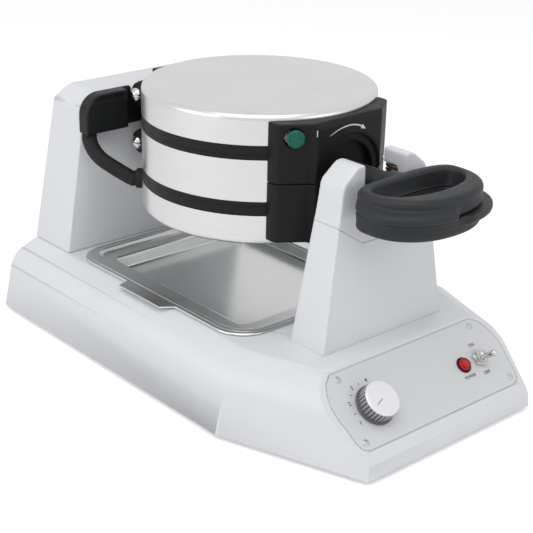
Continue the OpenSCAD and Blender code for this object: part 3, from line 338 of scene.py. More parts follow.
def make_grain():
    """The even grain of a casting, a moulding or a coat of paint."""
    group = Group("grain", [("Place", "Vector"), ("Fine", "Float", 1800.0),
                            ("Coarse", "Float", 60.0), ("Depth", "Float", 1.0)], SURFACE_OUTPUTS)
    fine = group.add("ShaderNodeTexNoise", Vector=group.start["Place"], Scale=group.start["Fine"],
                     Detail=2.0)
    coarse = group.add("ShaderNodeTexNoise", Vector=group.start["Place"],
                       Scale=group.start["Coarse"], Detail=3.0)
    mixed = group.maths("ADD", group.maths("MULTIPLY", fine.outputs["Fac"], 0.7),
                        group.maths("MULTIPLY", coarse.outputs["Fac"], 0.3))
    group.feed(group.maths("MULTIPLY", mixed, group.start["Depth"]), group.end["Height"])
    group.feed(coarse.outputs["Fac"], group.end["Blur"])
    group.feed(mixed, group.end["Shade"])
    return group.tree


BRUSHING = make_brushing()
GRAIN = make_grain()
print("groups:", BRUSHING.name, "and", GRAIN.name)

# %% [markdown]
# **Edge wear**: a Bevel node gives the normal that a rounded edge would have. Where it differs
# from the real normal there is an edge, and broken up by noise that becomes wear: bright where
# a coating has rubbed thin, or a paler line where paint is thinner.

# %% Edge wear


def make_edge_wear():
    """A mask of the worn edges, and a normal that rounds them."""
    group = Group("edge_wear",
                  [("Place", "Vector"), ("Radius", "Float", 0.001), ("Amount", "Float", 1.0)],
                  [("Mask", "Float"), ("Normal", "Vector")])
    bevel = group.add("ShaderNodeBevel", {"samples": 4}, Radius=group.start["Radius"])
    geometry = group.add("ShaderNodeNewGeometry")
    agree = group.add("ShaderNodeVectorMath", {"operation": "DOT_PRODUCT"},
                      i0=bevel.outputs["Normal"], i1=geometry.outputs["Normal"]).outputs["Value"]
    edge = group.add("ShaderNodeMapRange", {"clamp": True}, Value=agree, From_Min=0.995,
                     From_Max=0.9).outputs["Result"]
    noise = group.add("ShaderNodeTexNoise", Vector=group.start["Place"], Scale=90.0, Detail=4.0)
    broken = group.add("ShaderNodeMapRange", {"clamp": True}, Value=noise.outputs["Fac"],
                       From_Min=0.35, From_Max=0.65).outputs["Result"]
    worn = group.maths("MULTIPLY", group.maths("MULTIPLY", edge, broken), group.start["Amount"])
    group.feed(worn, group.end["Mask"])
    group.feed(bevel.outputs["Normal"], group.end["Normal"])
    return group.tree


EDGE_WEAR = make_edge_wear()
print("group:", EDGE_WEAR.name)

# %% [markdown]
# ## Finishes
# Each finish is one call: a colour, its variation, how rough and how metallic it is, which
# surface effect it wears and how strongly. The Principled shader stays in the material.

# %% Effects and mixes inside a material


def add_group(tree, group, place, **values):
    """Puts a shared effect in a material, with the material's own values."""
    node = tree.nodes.new("ShaderNodeGroup")
    node.node_tree = group
    tree.links.new(place, node.inputs["Place"])
    for label, value in values.items():
        node.inputs[label].default_value = value
    return node


def between(tree, factor, low, high):
    """A number that runs from low to high as the factor runs from 0.3 to 0.7."""
    node = tree.nodes.new("ShaderNodeMapRange")
    node.inputs["From Min"].default_value = 0.3
    node.inputs["From Max"].default_value = 0.7
    node.inputs["To Min"].default_value = low
    node.inputs["To Max"].default_value = high
    tree.links.new(factor, node.inputs["Value"])
    return node.outputs["Result"]


def mix_colour(tree, factor, first, second):
    """The first colour where the factor is 0, and the second where it is 1."""
    node = tree.nodes.new("ShaderNodeMix")
    node.data_type = "RGBA"
    for value, index in ((factor, 0), (first, 6), (second, 7)):
        if isinstance(value, bpy.types.NodeSocket):
            tree.links.new(value, node.inputs[index])
        else:
            node.inputs[index].default_value = (*value, 1) if isinstance(value, tuple) else value
    return node.outputs[2]


print("effects to choose from:", ", ".join(group.name for group in (BRUSHING, GRAIN, EDGE_WEAR)))

# %% The finish builder
MICRON = 0.001 * MM
COAT_ROUGHNESS, BUMP_STRENGTH = 0.15, 0.6


def make_finish(name, colour, shade, rough, bump, metal=0.0, effect=None, depth=0.2, worn=None,
                wear=0.0, radius=0.8, coat=0.0, level=0.5, **sizes):
    """A procedural finish. shade is the colour's darker partner, rough its two roughnesses.

    bump is in micrometres, and the wear's radius in millimetres.
    """
    material, tree, shader = new_material(name + "_finish")
    place = tree.nodes.new("ShaderNodeTexCoord").outputs["Object"]
    surface = add_group(tree, effect or GRAIN, place, Depth=depth, **sizes)
    edges = add_group(tree, EDGE_WEAR, place, Radius=radius * MM, Amount=wear)
    tone = between(tree, surface.outputs["Shade"], 0.0, 1.0)
    base = mix_colour(tree, tone, shade, colour)
    base = mix_colour(tree, edges.outputs["Mask"], base, worn or colour)
    tree.links.new(base, shader.inputs["Base Color"])
    tree.links.new(between(tree, surface.outputs["Blur"], *rough), shader.inputs["Roughness"])
    shader.inputs["Metallic"].default_value = metal
    shader.inputs["Coat Weight"].default_value = coat
    shader.inputs["Coat Roughness"].default_value = COAT_ROUGHNESS
    shader.inputs["Specular IOR Level"].default_value = level
    relief = tree.nodes.new("ShaderNodeBump")
    relief.inputs["Strength"].default_value = BUMP_STRENGTH
    relief.inputs["Distance"].default_value = bump * MICRON
    tree.links.new(surface.outputs["Height"], relief.inputs["Height"])
    tree.links.new(edges.outputs["Normal"], relief.inputs["Normal"])
    tree.links.new(relief.outputs["Normal"], shader.inputs["Normal"])
    return material


print("bumps are in micrometres, at a strength of", BUMP_STRENGTH)

# %% [markdown]
# The numbers below are what each real surface is: satin silver paint with a trace of orange
# peel, steel brushed round the drum, polished steel in the tray, matt coated castings, and
# heat-proof plastic with a fine spark-eroded grain.

# %% Mix the finishes
FINISHES = {}


def add_finish(name, *numbers, **options):
    """Mixes the finish that a slot of the frame wears."""
    FINISHES[name] = make_finish(name, *numbers, **options)


add_finish(
    "painted_shell", (0.735, 0.745, 0.775), (0.70, 0.71, 0.74), (0.36, 0.46), depth=0.5,
    bump=60, worn=(0.80, 0.81, 0.83), wear=0.35, Fine=1500.0, Coarse=30.0)
add_finish(
    "control_plate", (0.69, 0.70, 0.715), (0.64, 0.65, 0.665), (0.38, 0.5), metal=0.15,
    effect=BRUSHING, depth=0.5, bump=30, Stretch=(2600, 60, 60))
add_finish(
    "brushed_cover", (0.74, 0.74, 0.745), (0.70, 0.70, 0.705), (0.24, 0.34), metal=1.0,
    effect=BRUSHING, depth=0.3, bump=20, Stretch=(30, 30, 2400), radius=0.6)
add_finish(
    "polished_tray", (0.69, 0.70, 0.695), (0.63, 0.64, 0.635), (0.17, 0.25), metal=1.0,
    effect=BRUSHING, depth=0.4, bump=10, Stretch=(40, 1400, 40))
add_finish(
    "plain_steel", (0.62, 0.63, 0.65), (0.5, 0.51, 0.53), (0.3, 0.45), metal=1.0, depth=0.4,
    bump=40, Fine=1400.0, Coarse=90.0)
add_finish(
    "bright_fitting", (0.66, 0.65, 0.64), (0.58, 0.57, 0.56), (0.05, 0.10), metal=1.0, depth=0.15,
    bump=10, Fine=700.0, Coarse=40.0)
print("mixed", len(FINISHES), "finishes so far")

# %% [markdown]
# The plates, castings, handles and rubber are all near black. What tells them apart is how they
# shine: a casting is matt, a handle has a low sheen, and rubber has almost none.

# %% Dark castings, plastic and rubber
add_finish(
    "cast_plate", (0.007, 0.007, 0.007), (0.004, 0.004, 0.004), (0.42, 0.54), depth=0.6,
    bump=80, worn=(0.03, 0.03, 0.03), wear=0.4, level=0.25, Fine=1300.0, Coarse=80.0)
add_finish(
    "dark_casting", (0.011, 0.012, 0.013), (0.007, 0.008, 0.009), (0.42, 0.55), depth=0.7,
    bump=80, worn=(0.04, 0.042, 0.045), wear=0.4, level=0.3, Fine=1100.0, Coarse=70.0)
add_finish(
    "handle_plastic", (0.023, 0.025, 0.028), (0.016, 0.018, 0.020), (0.44, 0.54), depth=0.7,
    bump=60, worn=(0.045, 0.048, 0.052), wear=0.25, level=0.35, Fine=1500.0, Coarse=50.0)
add_finish(
    "black_rubber", (0.010, 0.010, 0.011), (0.006, 0.006, 0.007), (0.5, 0.66), depth=0.8,
    bump=100, level=0.3, Fine=1000.0, Coarse=120.0)
print("mixed", len(FINISHES), "finishes so far")

# %% Bronze and the hidden pieces
add_finish(
    "bronze", (0.80, 0.54, 0.34), (0.68, 0.43, 0.26), (0.22, 0.36), metal=1.0, depth=0.3,
    bump=30, Fine=900.0, Coarse=150.0)
add_finish(
    "heater_sheath", (0.30, 0.29, 0.28), (0.2, 0.19, 0.18), (0.45, 0.6), metal=0.9, depth=0.5,
    bump=50, Fine=1200.0, Coarse=140.0)
add_finish(
    "insulation", (0.74, 0.7, 0.62), (0.6, 0.56, 0.48), (0.9, 1.0), depth=1.0, bump=600,
    level=0.1, Fine=500.0, Coarse=60.0)
add_finish(
    "terminal_plastic", (0.8, 0.78, 0.72), (0.74, 0.72, 0.66), (0.3, 0.42), depth=0.4, bump=40,
    Fine=900.0, Coarse=60.0)
print("mixed", len(FINISHES), "finishes so far")

# %% The dial and the lenses
# On the dial's ribs the paler worn colour at the edges is partly wear and partly painted highlight
# along the ribs.
add_finish(
    "knob_grey", (0.40, 0.41, 0.42), (0.34, 0.35, 0.36), (0.3, 0.42), metal=0.55, depth=0.4,
    bump=40, worn=(0.6, 0.6, 0.61), wear=0.6, Fine=1400.0, Coarse=120.0, radius=0.3)
add_finish(
    "knob_face", (0.83, 0.835, 0.85), (0.79, 0.795, 0.81), (0.34, 0.42), metal=0.25, depth=0.3,
    bump=20, Fine=1400.0, Coarse=80.0)
add_finish(
    "green_lens", (0.001, 0.15, 0.11), (0.001, 0.07, 0.05), (0.10, 0.18), depth=0.2, bump=30,
    coat=0.15, level=0.3, Fine=600.0, Coarse=200.0)
add_finish(
    "red_lens", (0.60, 0.006, 0.014), (0.40, 0.003, 0.008), (0.1, 0.18), depth=0.2, bump=30,
    coat=0.2, level=0.35, Fine=600.0, Coarse=200.0)
print("mixed", len(FINISHES), "finishes so far")

# %% Finishes that no slot has, and the coats of the CAD nodes
# The dial's body between its ribs is a darker grey than the ribs: painted shade in the hollows
# between them.
KNOB_PAINTED_SHADE = make_finish(
    "knob_painted_shade", (0.11, 0.11, 0.115), (0.08, 0.08, 0.085), (0.35, 0.45), depth=0.4, bump=40,
    Fine=1400.0, Coarse=120.0)
BLACK_MOULDING = make_finish(
    "black_moulding", (0.008, 0.008, 0.009), (0.005, 0.005, 0.006), (0.42, 0.52), depth=0.7,
    bump=60, worn=(0.02, 0.021, 0.023), wear=0.3, level=0.22, Fine=1500.0, Coarse=50.0)
PRINT_DARK = make_finish(
    "print_dark", (0.055, 0.055, 0.06), (0.04, 0.04, 0.045), (0.5, 0.6), depth=0.3, bump=10,
    level=0.3)
PRINT_WHITE = make_finish(
    "print_white", (0.82, 0.83, 0.84), (0.72, 0.73, 0.74), (0.5, 0.6), depth=0.3, bump=10,
    level=0.3)
for node_name, node in nodes.items():
    for place in node.material_slots:
        place.material = FINISHES[SLOT_OF[node_name]]
print("finishes:", len(FINISHES), "for", len(nodes), "nodes")

# %% [markdown]
# ## Helpers for pieces
# A new piece is a mesh with its place in its vertices, so that its object sits at the origin.
# It rides on a body, may stand for a CAD node, and names the finish that it wears.

# %% Place a piece
MEMBERS = frame["record"]["behaviour"]["bodies"]
BODY_OF = {node: body for body, members in MEMBERS.items() for node in members}


def put_piece(name, mesh, body, slot, material=None, stands_for=(), smooth=35):
    """Links a finished mesh as a piece.

    An edge sharper than smooth degrees stays sharp, and smooth=None keeps the mesh's own normals.
    body=None leaves the piece free to be blended between two bodies.
    """
    piece = bpy.data.objects.new(name, mesh)
    bpy.context.scene.collection.objects.link(piece)
    mesh.materials.clear()
    mesh.materials.append(material or FINISHES[slot])
    if smooth is not None:
        for face in mesh.polygons:
            face.use_smooth = True
        mesh.set_sharp_from_angle(angle=math.radians(smooth))
    if body is not None:
        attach(piece, body)
    for node in stands_for:
        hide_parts(node)
    return piece


print("bodies:", ", ".join(MEMBERS))

# %% Make and move meshes


def mesh_from(bm, name):
    """Turns a bmesh into a mesh with its faces outwards."""
    bmesh.ops.remove_doubles(bm, verts=bm.verts, dist=1e-6)
    bmesh.ops.recalc_face_normals(bm, faces=bm.faces)
    mesh = bpy.data.meshes.new(name)
    bm.to_mesh(mesh)
    bm.free()
    return mesh


def bake(carrier):
    """The evaluated mesh of an object with modifiers. The carrier is then removed."""
    bpy.context.view_layer.update()
    graph = bpy.context.evaluated_depsgraph_get()
    mesh = bpy.data.meshes.new_from_object(carrier.evaluated_get(graph))
    bpy.data.objects.remove(carrier)
    return mesh


def carry(mesh, name="carrier"):
    """A passing object for a mesh or a text, so that modifiers have something to work on."""
    carrier = bpy.data.objects.new(name, mesh)
    bpy.context.scene.collection.objects.link(carrier)
    return carrier


def placed(mesh, matrix):
    """The mesh itself, moved by a matrix."""
    mesh.transform(matrix)
    return mesh


HALF_TURN = Matrix.Translation(AXLE) @ Matrix.Rotation(math.pi, 4, "Y") @ Matrix.Translation(-AXLE)


def half_turned(mesh, name):
    """A copy turned by half a turn about the axle: the other lid's piece."""
    copy = mesh.copy()
    copy.name = name
    return placed(copy, HALF_TURN)


print("a half turn puts the axle's centre at", [round(v, 4) for v in HALF_TURN @ AXLE])

# %% [markdown]
# ## Rounded shells
# Folded sheet, castings and mouldings have no knife edges. A merged copy of the CAD piece gets
# a bevel on the edges that are rounded on the real one. The width is in each edge's weight, so
# that one modifier can round a post by 4 mm and a seam by half a millimetre.

# %% Round a copy of a CAD piece


ROUND_STEPS = 4
SAME_POINT = 0.01 * MM
SAME_PLANE, CREASE = math.radians(1), math.radians(30)


def rounded_copy(node, widths, widest):
    """A bevelled copy. widths(middle, along, angle, length) rounds each edge, in millimetres."""
    bm = bmesh.new()
    bm.from_mesh(nodes[node].data)
    bmesh.ops.remove_doubles(bm, verts=bm.verts, dist=SAME_POINT)
    bmesh.ops.dissolve_limit(bm, angle_limit=SAME_PLANE, verts=bm.verts, edges=bm.edges)
    bmesh.ops.connect_verts_concave(bm, faces=bm.faces)
    for face in bm.faces:
        face.smooth = True
    weight = bm.edges.layers.float.new("bevel_weight_edge")
    for edge in bm.edges:
        if len(edge.link_faces) != 2:
            continue
        edge.smooth = edge.calc_face_angle(0) < CREASE
        if edge.calc_face_angle_signed(0) <= 0:
            continue
        middle = (edge.verts[0].co + edge.verts[1].co) / 2 / MM
        along = (edge.verts[0].co - edge.verts[1].co).normalized()
        angle = math.degrees(edge.calc_face_angle(0))
        edge[weight] = min(widths(middle, along, angle, edge.calc_length() / MM) / widest, 1)
        edge.smooth = edge.smooth or edge[weight] > 0
    mesh = bpy.data.meshes.new(node + "_finish")
    bm.to_mesh(mesh)
    bm.free()
    carrier = carry(mesh)
    bevel = carrier.modifiers.new("round", "BEVEL")
    bevel.limit_method = "WEIGHT"
    bevel.width = widest * MM
    bevel.segments = ROUND_STEPS
    bevel.use_clamp_overlap = False
    bevel.miter_outer = "MITER_ARC"
    bevel.harden_normals = True
    return bake(carrier)


def dress(node, mesh, material=None, smooth=35):
    """Puts a mesh in a CAD node's place, on its body and in its slot."""
    piece = put_piece(node + "_finish", mesh, BODY_OF[node], SLOT_OF[node], material,
                      stands_for=[node], smooth=smooth)
    print(piece.name, len(mesh.polygons), "faces")


# %% [markdown]
# A moulding has a hole or a curve at nearly every edge, which a bevel can't follow. It gets a new
# even skin of small faces, and then each face's corner points are drawn towards their neighbours,
# which rounds the edges and leaves the flats flat.

# %% Re-skin a copy of a CAD piece


def moulded_piece(node, voxel, rounds, softness=lambda point: 1.0, material=None):
    """softness(point) says how far a point is rounded, from 0 to 1. voxel is in millimetres."""
    carrier = carry(nodes[node].data.copy())
    remesh = carrier.modifiers.new("skin", "REMESH")
    remesh.mode = "VOXEL"
    remesh.voxel_size = voxel * MM
    skin = bake(carrier)
    skin.name = node + "_finish"
    carrier = carry(skin)
    group = carrier.vertex_groups.new(name="soft")
    for vertex in skin.vertices:
        group.add([vertex.index], softness(vertex.co / MM), "REPLACE")
    even = carrier.modifiers.new("even", "SMOOTH")
    even.iterations = rounds
    even.vertex_group = "soft"
    dress(node, bake(carrier), material, smooth=60)


# %% [markdown]
# The housing's folds are soft. The two posts have wide round corners and a thin seam between
# cap and post. Brackets, hinge arms and the yoke are mouldings with small radii.

# %% Round the shells
HOUSING_ROUND, POST_ROUND, POST_SEAM_ROUND, REAR_ROUND = 1.8, 4, 0.4, 1.6
SEAM_FLAT, SEAM_SLOPE = 26, math.radians(33)
SEAM_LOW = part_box("front_pillar_cap")[0][2] / MM
CRISP, CRISP_ABOVE_SEAM, SOFTENS_OVER = 0.12, 1.5, 4


def housing_edges(middle, along, angle, length):
    """The folds, without the bottom rim and the two edges that frame the control face."""
    beside_panel = middle.y < PANEL_TOP.y / MM and 0.3 < abs(along.z) < 0.85
    folded = angle >= 14 and length >= 9 and middle.z >= 12
    return HOUSING_ROUND if folded and not beside_panel else 0


def post_edges(middle, along, angle, length):
    """Wide corners up the post's four outer edges, and a fine round along the seam."""
    if length < 5 or angle < 20:
        return 0
    upright = abs(along.z) > 0.9 and abs(middle.x) > 40
    return POST_ROUND if upright else POST_SEAM_ROUND


def rear_edges(middle, along, angle, length):
    """Every long edge of the rear pillar."""
    return REAR_ROUND if angle > 20 and length > 8 else 0


def cap_softness(point):
    """The cap is round at its top and corners, and keeps a crisp edge at its seam."""
    seam = SEAM_LOW + max(0.0, abs(point.x) - SEAM_FLAT) * math.tan(SEAM_SLOPE)
    above = (point.z - seam - CRISP_ABOVE_SEAM) / SOFTENS_OVER
    return CRISP + (1 - CRISP) * min(1.0, max(0.0, above))


for node, widths, widest in (("base_housing", housing_edges, HOUSING_ROUND),
                             ("front_pillar", post_edges, POST_ROUND),
                             ("rear_pillar", rear_edges, REAR_ROUND)):
    dress(node, rounded_copy(node, widths, widest), smooth=None)
moulded_piece("front_pillar_cap", 0.9, 16, cap_softness)
moulded_piece("rear_yoke", 0.9, 12)
for lid in ("top", "bottom"):
    moulded_piece(lid + "_bracket", 0.8, 6, material=BLACK_MOULDING)
    moulded_piece(lid + "_hinge_arm", 0.8, 6, material=BLACK_MOULDING)

# %% [markdown]
# ## Handles
# Each handle is a flat ring. Its outline follows a rule: straight at the back, widest a third of
# the way along, round at the front. The ring's section is round at the top and flares at the
# bottom into a grip lip on one side. The section is swept round the outline, the stem is added,
# and a voxel remesh joins them the way a moulding does.

# %% Skins between rings


def arc(across, up, radius, start, end, steps=4):
    """The points of a round corner about (across, up), from one angle to another."""
    turns = [math.radians(start + (end - start) * i / steps) for i in range(steps + 1)]
    return [(across + radius * math.cos(a), up + radius * math.sin(a)) for a in turns]


def skin(bm, rings):
    """Faces between each ring of points and the next. A ring may be a single point."""
    for low, high in zip(rings, rings[1:]):
        count = max(len(low), len(high))
        for i in range(count):
            j = (i + 1) % count
            corners = (low[i % len(low)], low[j % len(low)], high[j % len(high)],
                       high[i % len(high)])
            bm.faces.new(list(dict.fromkeys(corners)))


def ease(value):
    """Runs smoothly from 0 to 1 as value does."""
    value = max(0.0, min(1.0, value))
    return value * value * (3 - 2 * value)


print("a quarter round:", [(round(x, 2), round(y, 2)) for x, y in arc(0, 0, 1, 0, 90, 2)])

# %% The outline of a handle
HANDLE_BACK, HANDLE_FRONT, HANDLE_HALF = 166, 236, 56
HOLE_BACK, HOLE_FRONT, HOLE_HALF = 177, 215.5, 46.5
BLUNT_BACK, BLUNT_FRONT = 3.2, 2.2  # 2 is an ellipse, and more is squarer


def ring_point(half, back, front, turn):
    """A point of the outline, turn running once round from the right side to the back."""
    widest = back + (front - back) / 3
    c, s = math.cos(turn), math.sin(turn)
    power, run = (BLUNT_BACK, widest - back) if s > 0 else (BLUNT_FRONT, front - widest)
    x = half * math.copysign(abs(c) ** (2 / power), c)
    y = -widest + run * math.copysign(abs(s) ** (2 / power), s)
    return Vector((x, y, 0))


print("ring", 2 * HANDLE_HALF, "mm wide and", HANDLE_FRONT - HANDLE_BACK, "mm long")

# %% The section of the ring
HANDLE_LOW, HANDLE_TOP, LIP_TOP = 0.15, 17, 7
INNER_ROUND, OUTER_ROUND, LIP_ROUND = 3.6, 5, 2.4
LIP_SIDE, LIP_FRONT, LIP_LEAST = 9, 6, 0.35
LIP_EASE_SIDE, LIP_EASE_BACK = 9, 38


def handle_section(width, lip, undercut):
    """The ring's section: out from the hole's wall, and up from the parting face.

    lip is how far the grip lip stands out, and undercut, 0 to 1, how far it is cut back below.
    """
    low, top = HANDLE_LOW, HANDLE_TOP
    edge = width + lip
    points = [(0.8, low), (0, low + 0.8)]
    points += arc(INNER_ROUND, top - INNER_ROUND, INNER_ROUND, 180, 90, 5)
    points += arc(width - OUTER_ROUND, top - OUTER_ROUND, OUTER_ROUND, 90, 0, 6)
    points += [(width, 11.2), (width - 0.5, 9.6), (width - 0.3 + 0.2 * lip, 8.6),
               (width + 0.6 * lip, LIP_TOP + 0.3)]
    points += arc(edge - LIP_ROUND, LIP_TOP - 3, LIP_ROUND, 60, 0, 3)
    points += [(edge, 1.2 + 0.9 * undercut), (edge - 0.5, 0.5 + 0.9 * undercut),
               (edge - 0.9 - 5 * undercut, low)]
    return points


def section_at(turn):
    """The section at one turn round the ring, as points in millimetres from the drum's centre."""
    inner = ring_point(HOLE_HALF, HOLE_BACK, HOLE_FRONT, turn)
    outer = ring_point(HANDLE_HALF, HANDLE_BACK, HANDLE_FRONT, turn)
    grown = ring_point(HANDLE_HALF + LIP_SIDE, HANDLE_BACK, HANDLE_FRONT + LIP_FRONT, turn)
    out = (outer - inner).normalized()
    # the lip lies on the left half, fades at the back and has a round end at the front
    share = ease((-outer.x - 1) / LIP_EASE_SIDE)
    share *= ease((-outer.y - HANDLE_BACK - 3) / LIP_EASE_BACK)
    lip = LIP_LEAST + (grown - outer).length * share
    section = handle_section((outer - inner).length, lip, 1 - share)
    return [(*(inner + out * away)[:2], height) for away, height in section]


print("the section has", len(section_at(0)), "points")

# %% Sweep the section and join the stem
RING_STEPS, STEM_STEPS, HANDLE_VOXEL = 160, 24, 0.85
STEM_R, STEM_START = 14, 107
COLLAR_R, COLLAR_HALF = 17, 6


def add_half_stem(bm, radius, start, end):
    """Half a round bar along the turning axis, flat where the two handles meet."""
    turns = [math.pi * i / STEM_STEPS for i in range(STEM_STEPS + 1)]
    rims = [[bm.verts.new(drum_point(radius * math.cos(a), -y, HANDLE_LOW + radius * math.sin(a)))
             for a in turns] for y in (start, end)]
    skin(bm, rims)
    bm.faces.new(rims[0])
    bm.faces.new(rims[1])


def handle_mesh(name):
    """A ring with its stem and collar, joined by a voxel skin and smoothed a little."""
    bm = bmesh.new()
    turns = [2 * math.pi * i / RING_STEPS for i in range(RING_STEPS)]
    rings = [[bm.verts.new(drum_point(*point)) for point in section_at(turn)] for turn in turns]
    skin(bm, rings + rings[:1])
    collar_end = HANDLE_BACK + COLLAR_HALF
    add_half_stem(bm, STEM_R, STEM_START, collar_end)
    add_half_stem(bm, COLLAR_R, HANDLE_BACK - COLLAR_HALF, collar_end)
    bmesh.ops.recalc_face_normals(bm, faces=bm.faces)
    mesh = bpy.data.meshes.new(name)
    bm.to_mesh(mesh)
    bm.free()
    carrier = carry(mesh)
    remesh = carrier.modifiers.new("join", "REMESH")
    remesh.mode = "VOXEL"
    remesh.voxel_size = HANDLE_VOXEL * MM
    soften = carrier.modifiers.new("soften", "CORRECTIVE_SMOOTH")
    soften.iterations = 3
    soften.use_only_smooth = True
    carrier.modifiers.new("even", "SMOOTH").iterations = 3
    return bake(carrier)


top_handle = handle_mesh("top_handle_finish")
print("handle:", len(top_handle.polygons), "faces")

# %% [markdown]
# The drum is the same upside down: the bottom lid is the top lid turned by half a turn about
# the axle. So the bottom handle is a turned copy.

# %% Put both handles on
dress("top_handle", top_handle, smooth=60)
dress("bottom_handle", half_turned(top_handle, "bottom_handle_finish"), smooth=60)

# %% [markdown]
# ## Shapes that repeat
# Ribs, screw heads, ticks and numbers are small shapes at many places. A short Geometry Nodes
# tree puts an instance on every point of a carrier, turned by the point's own angles, and then
# makes the instances real, so that one mesh comes out for each body.

# %% The tree that repeats a shape


def make_repeat_tree():
    """Puts a shape on every point, turned by the point's own angles."""
    group = Group("repeat_shape", [("Places", "Geometry"), ("Shape", "Object"), ("Size", "Float"),
                                   ("Finish", "Material")], [("Pieces", "Geometry")],
                  "GeometryNodeTree")
    start = group.start
    shape = group.add("GeometryNodeObjectInfo", Object=start["Shape"]).outputs["Geometry"]
    facing = group.add("GeometryNodeInputNamedAttribute", {"data_type": "FLOAT_VECTOR"},
                       Name="facing").outputs["Attribute"]
    spread = group.add("GeometryNodeInstanceOnPoints", Points=start["Places"], Instance=shape,
                       Rotation=facing, Scale=start["Size"]).outputs[0]
    real = group.add("GeometryNodeRealizeInstances", Geometry=spread).outputs[0]
    paint = group.add("GeometryNodeSetMaterial", Geometry=real, Material=start["Finish"])
    group.feed(paint.outputs[0], group.end["Pieces"])
    return group.tree


def run_tree(carrier, tree, **values):
    """Sets a tree's named inputs by their identifiers, and returns the baked mesh."""
    modifier = carrier.modifiers.new(tree.name, "NODES")
    modifier.node_group = tree
    for item in tree.interface.items_tree:
        if item.in_out == "INPUT" and item.name in values:
            modifier[item.identifier] = values[item.name]
    return bake(carrier)


REPEAT = make_repeat_tree()
print("tree:", REPEAT.name, "with", len(REPEAT.nodes), "nodes")

# %% Repeat a shape at its places


def repeated(shape, places, finish):
    """One mesh of the shape at every place. Places are matrices in metres."""
    points = bpy.data.meshes.new("places")
    points.from_pydata([place.translation for place in places], [], [])
    facing = points.attributes.new("facing", "FLOAT_VECTOR", "POINT")
    for point, place in zip(facing.data, places):
        point.vector = place.to_euler()
    pattern = carry(shape, "pattern")
    mesh = run_tree(carry(points), REPEAT, Shape=pattern, Size=1.0, Finish=finish)
    bpy.data.objects.remove(pattern)
    print("repeated", len(places), "times:", len(mesh.polygons), "faces")
    return mesh


# %% [markdown]
# A knob, a nut, a lens and a rivet are turned: a profile goes round an axis, as on a lathe.
# Plates and prints are slabs: an outline that is drawn out to its thickness.

# %% Turned shapes and slabs


def circle(bm, radii, height):
    """A ring of points about Z, one for each radius, in millimetres."""
    turns = [2 * math.pi * i / len(radii) for i in range(len(radii))]
    return [bm.verts.new((radius * MM * math.cos(a), radius * MM * math.sin(a), height * MM))
            for radius, a in zip(radii, turns)]


def lathe(profile, steps=48):
    """A profile turned about Z, in millimetres.

    It is closed when it starts and ends on the axis. Otherwise it is an open band, for a place
    where its inner side can't be seen.
    """
    bm = bmesh.new()
    skin(bm, [circle(bm, [radius] * (steps if radius else 1), height)
              for radius, height in profile])
    return mesh_from(bm, "turned")


def slab(outline, lift):
    """A flat outline drawn out along lift, both in metres, as a bmesh."""
    bm = bmesh.new()
    base = bm.faces.new([bm.verts.new(point) for point in outline])
    risen = bmesh.ops.extrude_face_region(bm, geom=[base])
    tops = [v for v in risen["geom"] if isinstance(v, bmesh.types.BMVert)]
    bmesh.ops.translate(bm, verts=tops, vec=lift)
    return bm


def joined(name, *meshes):
    """Several meshes as one."""
    bm = bmesh.new()
    for mesh in meshes:
        bm.from_mesh(mesh)
    whole = bpy.data.meshes.new(name)
    bm.to_mesh(whole)
    bm.free()
    return whole


print("a turned disc has", len(lathe([(0, 0), (2, 0), (2, 1), (0, 1)], 8).polygons), "faces")


# %% [markdown]
# ## The drip tray
# The tray is pressed from one steel sheet. Its section is a path through the middle of the sheet:
# up the skirt, over the rim with its bead, down to the shelf and down to the floor, each fold
# round. The path is swept round the tray's outline, half the sheet to each side of it.

# %% The tray's section and outline
TRAY_LOW, TRAY_HIGH = [[v / MM for v in edge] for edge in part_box("drip_tray")]
TRAY_CORNER, TRAY_RIM, TRAY_SHEET = 30, 9, 1.0
CORNER_STEPS, FOLD_STEPS, LEAST_CORNER = 10, 4, 2
# distance in from the outline, and height under the top
TRAY_SECTION = [(0.5, -2.1), (0.5, -0.5), (3.0, -0.5), (3.5, -0.95), (4.5, -0.95), (5.0, -0.5),
                (9.5, -0.5), (9.5, -4.5), (27.5, -4.5), (27.5, -17.5), (34, -17.5)]
TRAY_FOLDS = [1.1, 0.25, 0.25, 0.25, 0.25, 1.3, 1.6, 2.2, 2.8]


def filleted(points, sizes):
    """An open path with round corners. sizes says how far each round reaches from its corner."""
    path = [Vector(points[0])]
    for before, point, after, size in zip(points, points[1:], points[2:], sizes):
        peak = Vector(point)
        start = peak + (Vector(before) - peak).normalized() * size
        end = peak + (Vector(after) - peak).normalized() * size
        for i in range(FOLD_STEPS + 1):
            t = i / FOLD_STEPS
            path.append(start * (1 - t) ** 2 + 2 * peak * t * (1 - t) + end * t ** 2)
    return path + [Vector(points[-1])]


def tray_ring(inset, drop):
    """The tray's outline drawn in by inset, at a height under its top."""
    # across the rim the corners tighten half as fast as the outline moves in
    radius = TRAY_CORNER - inset / 2 if inset <= TRAY_RIM else TRAY_CORNER + TRAY_RIM / 2 - inset
    radius = max(radius, LEAST_CORNER)
    side = TRAY_HIGH[0] - inset - radius
    ends = (TRAY_HIGH[1] - inset - radius, TRAY_LOW[1] + inset + radius)
    ring = []
    for quarter in range(4):
        centre_x = side if quarter in (0, 3) else -side
        centre_y = ends[quarter // 2]
        for i in range(CORNER_STEPS + 1):
            a = math.pi / 2 * (quarter + i / CORNER_STEPS)
            ring.append(Vector((centre_x + radius * math.cos(a), centre_y + radius * math.sin(a),
                                TRAY_HIGH[2] + drop)) * MM)
    return ring


print("tray", [round(high - low) for low, high in zip(TRAY_LOW, TRAY_HIGH)], "mm")


# %% Sweep the tray and add its tab
TAB_OUTLINE = ((-106, 56), (-119, 52), (-119, -9), (-106, -19))  # about the axle
TAB_THICK, TAB_ROUND = 1.4, 0.45
FLATTEN = 90  # of 100, how much a wide face outweighs a narrow one


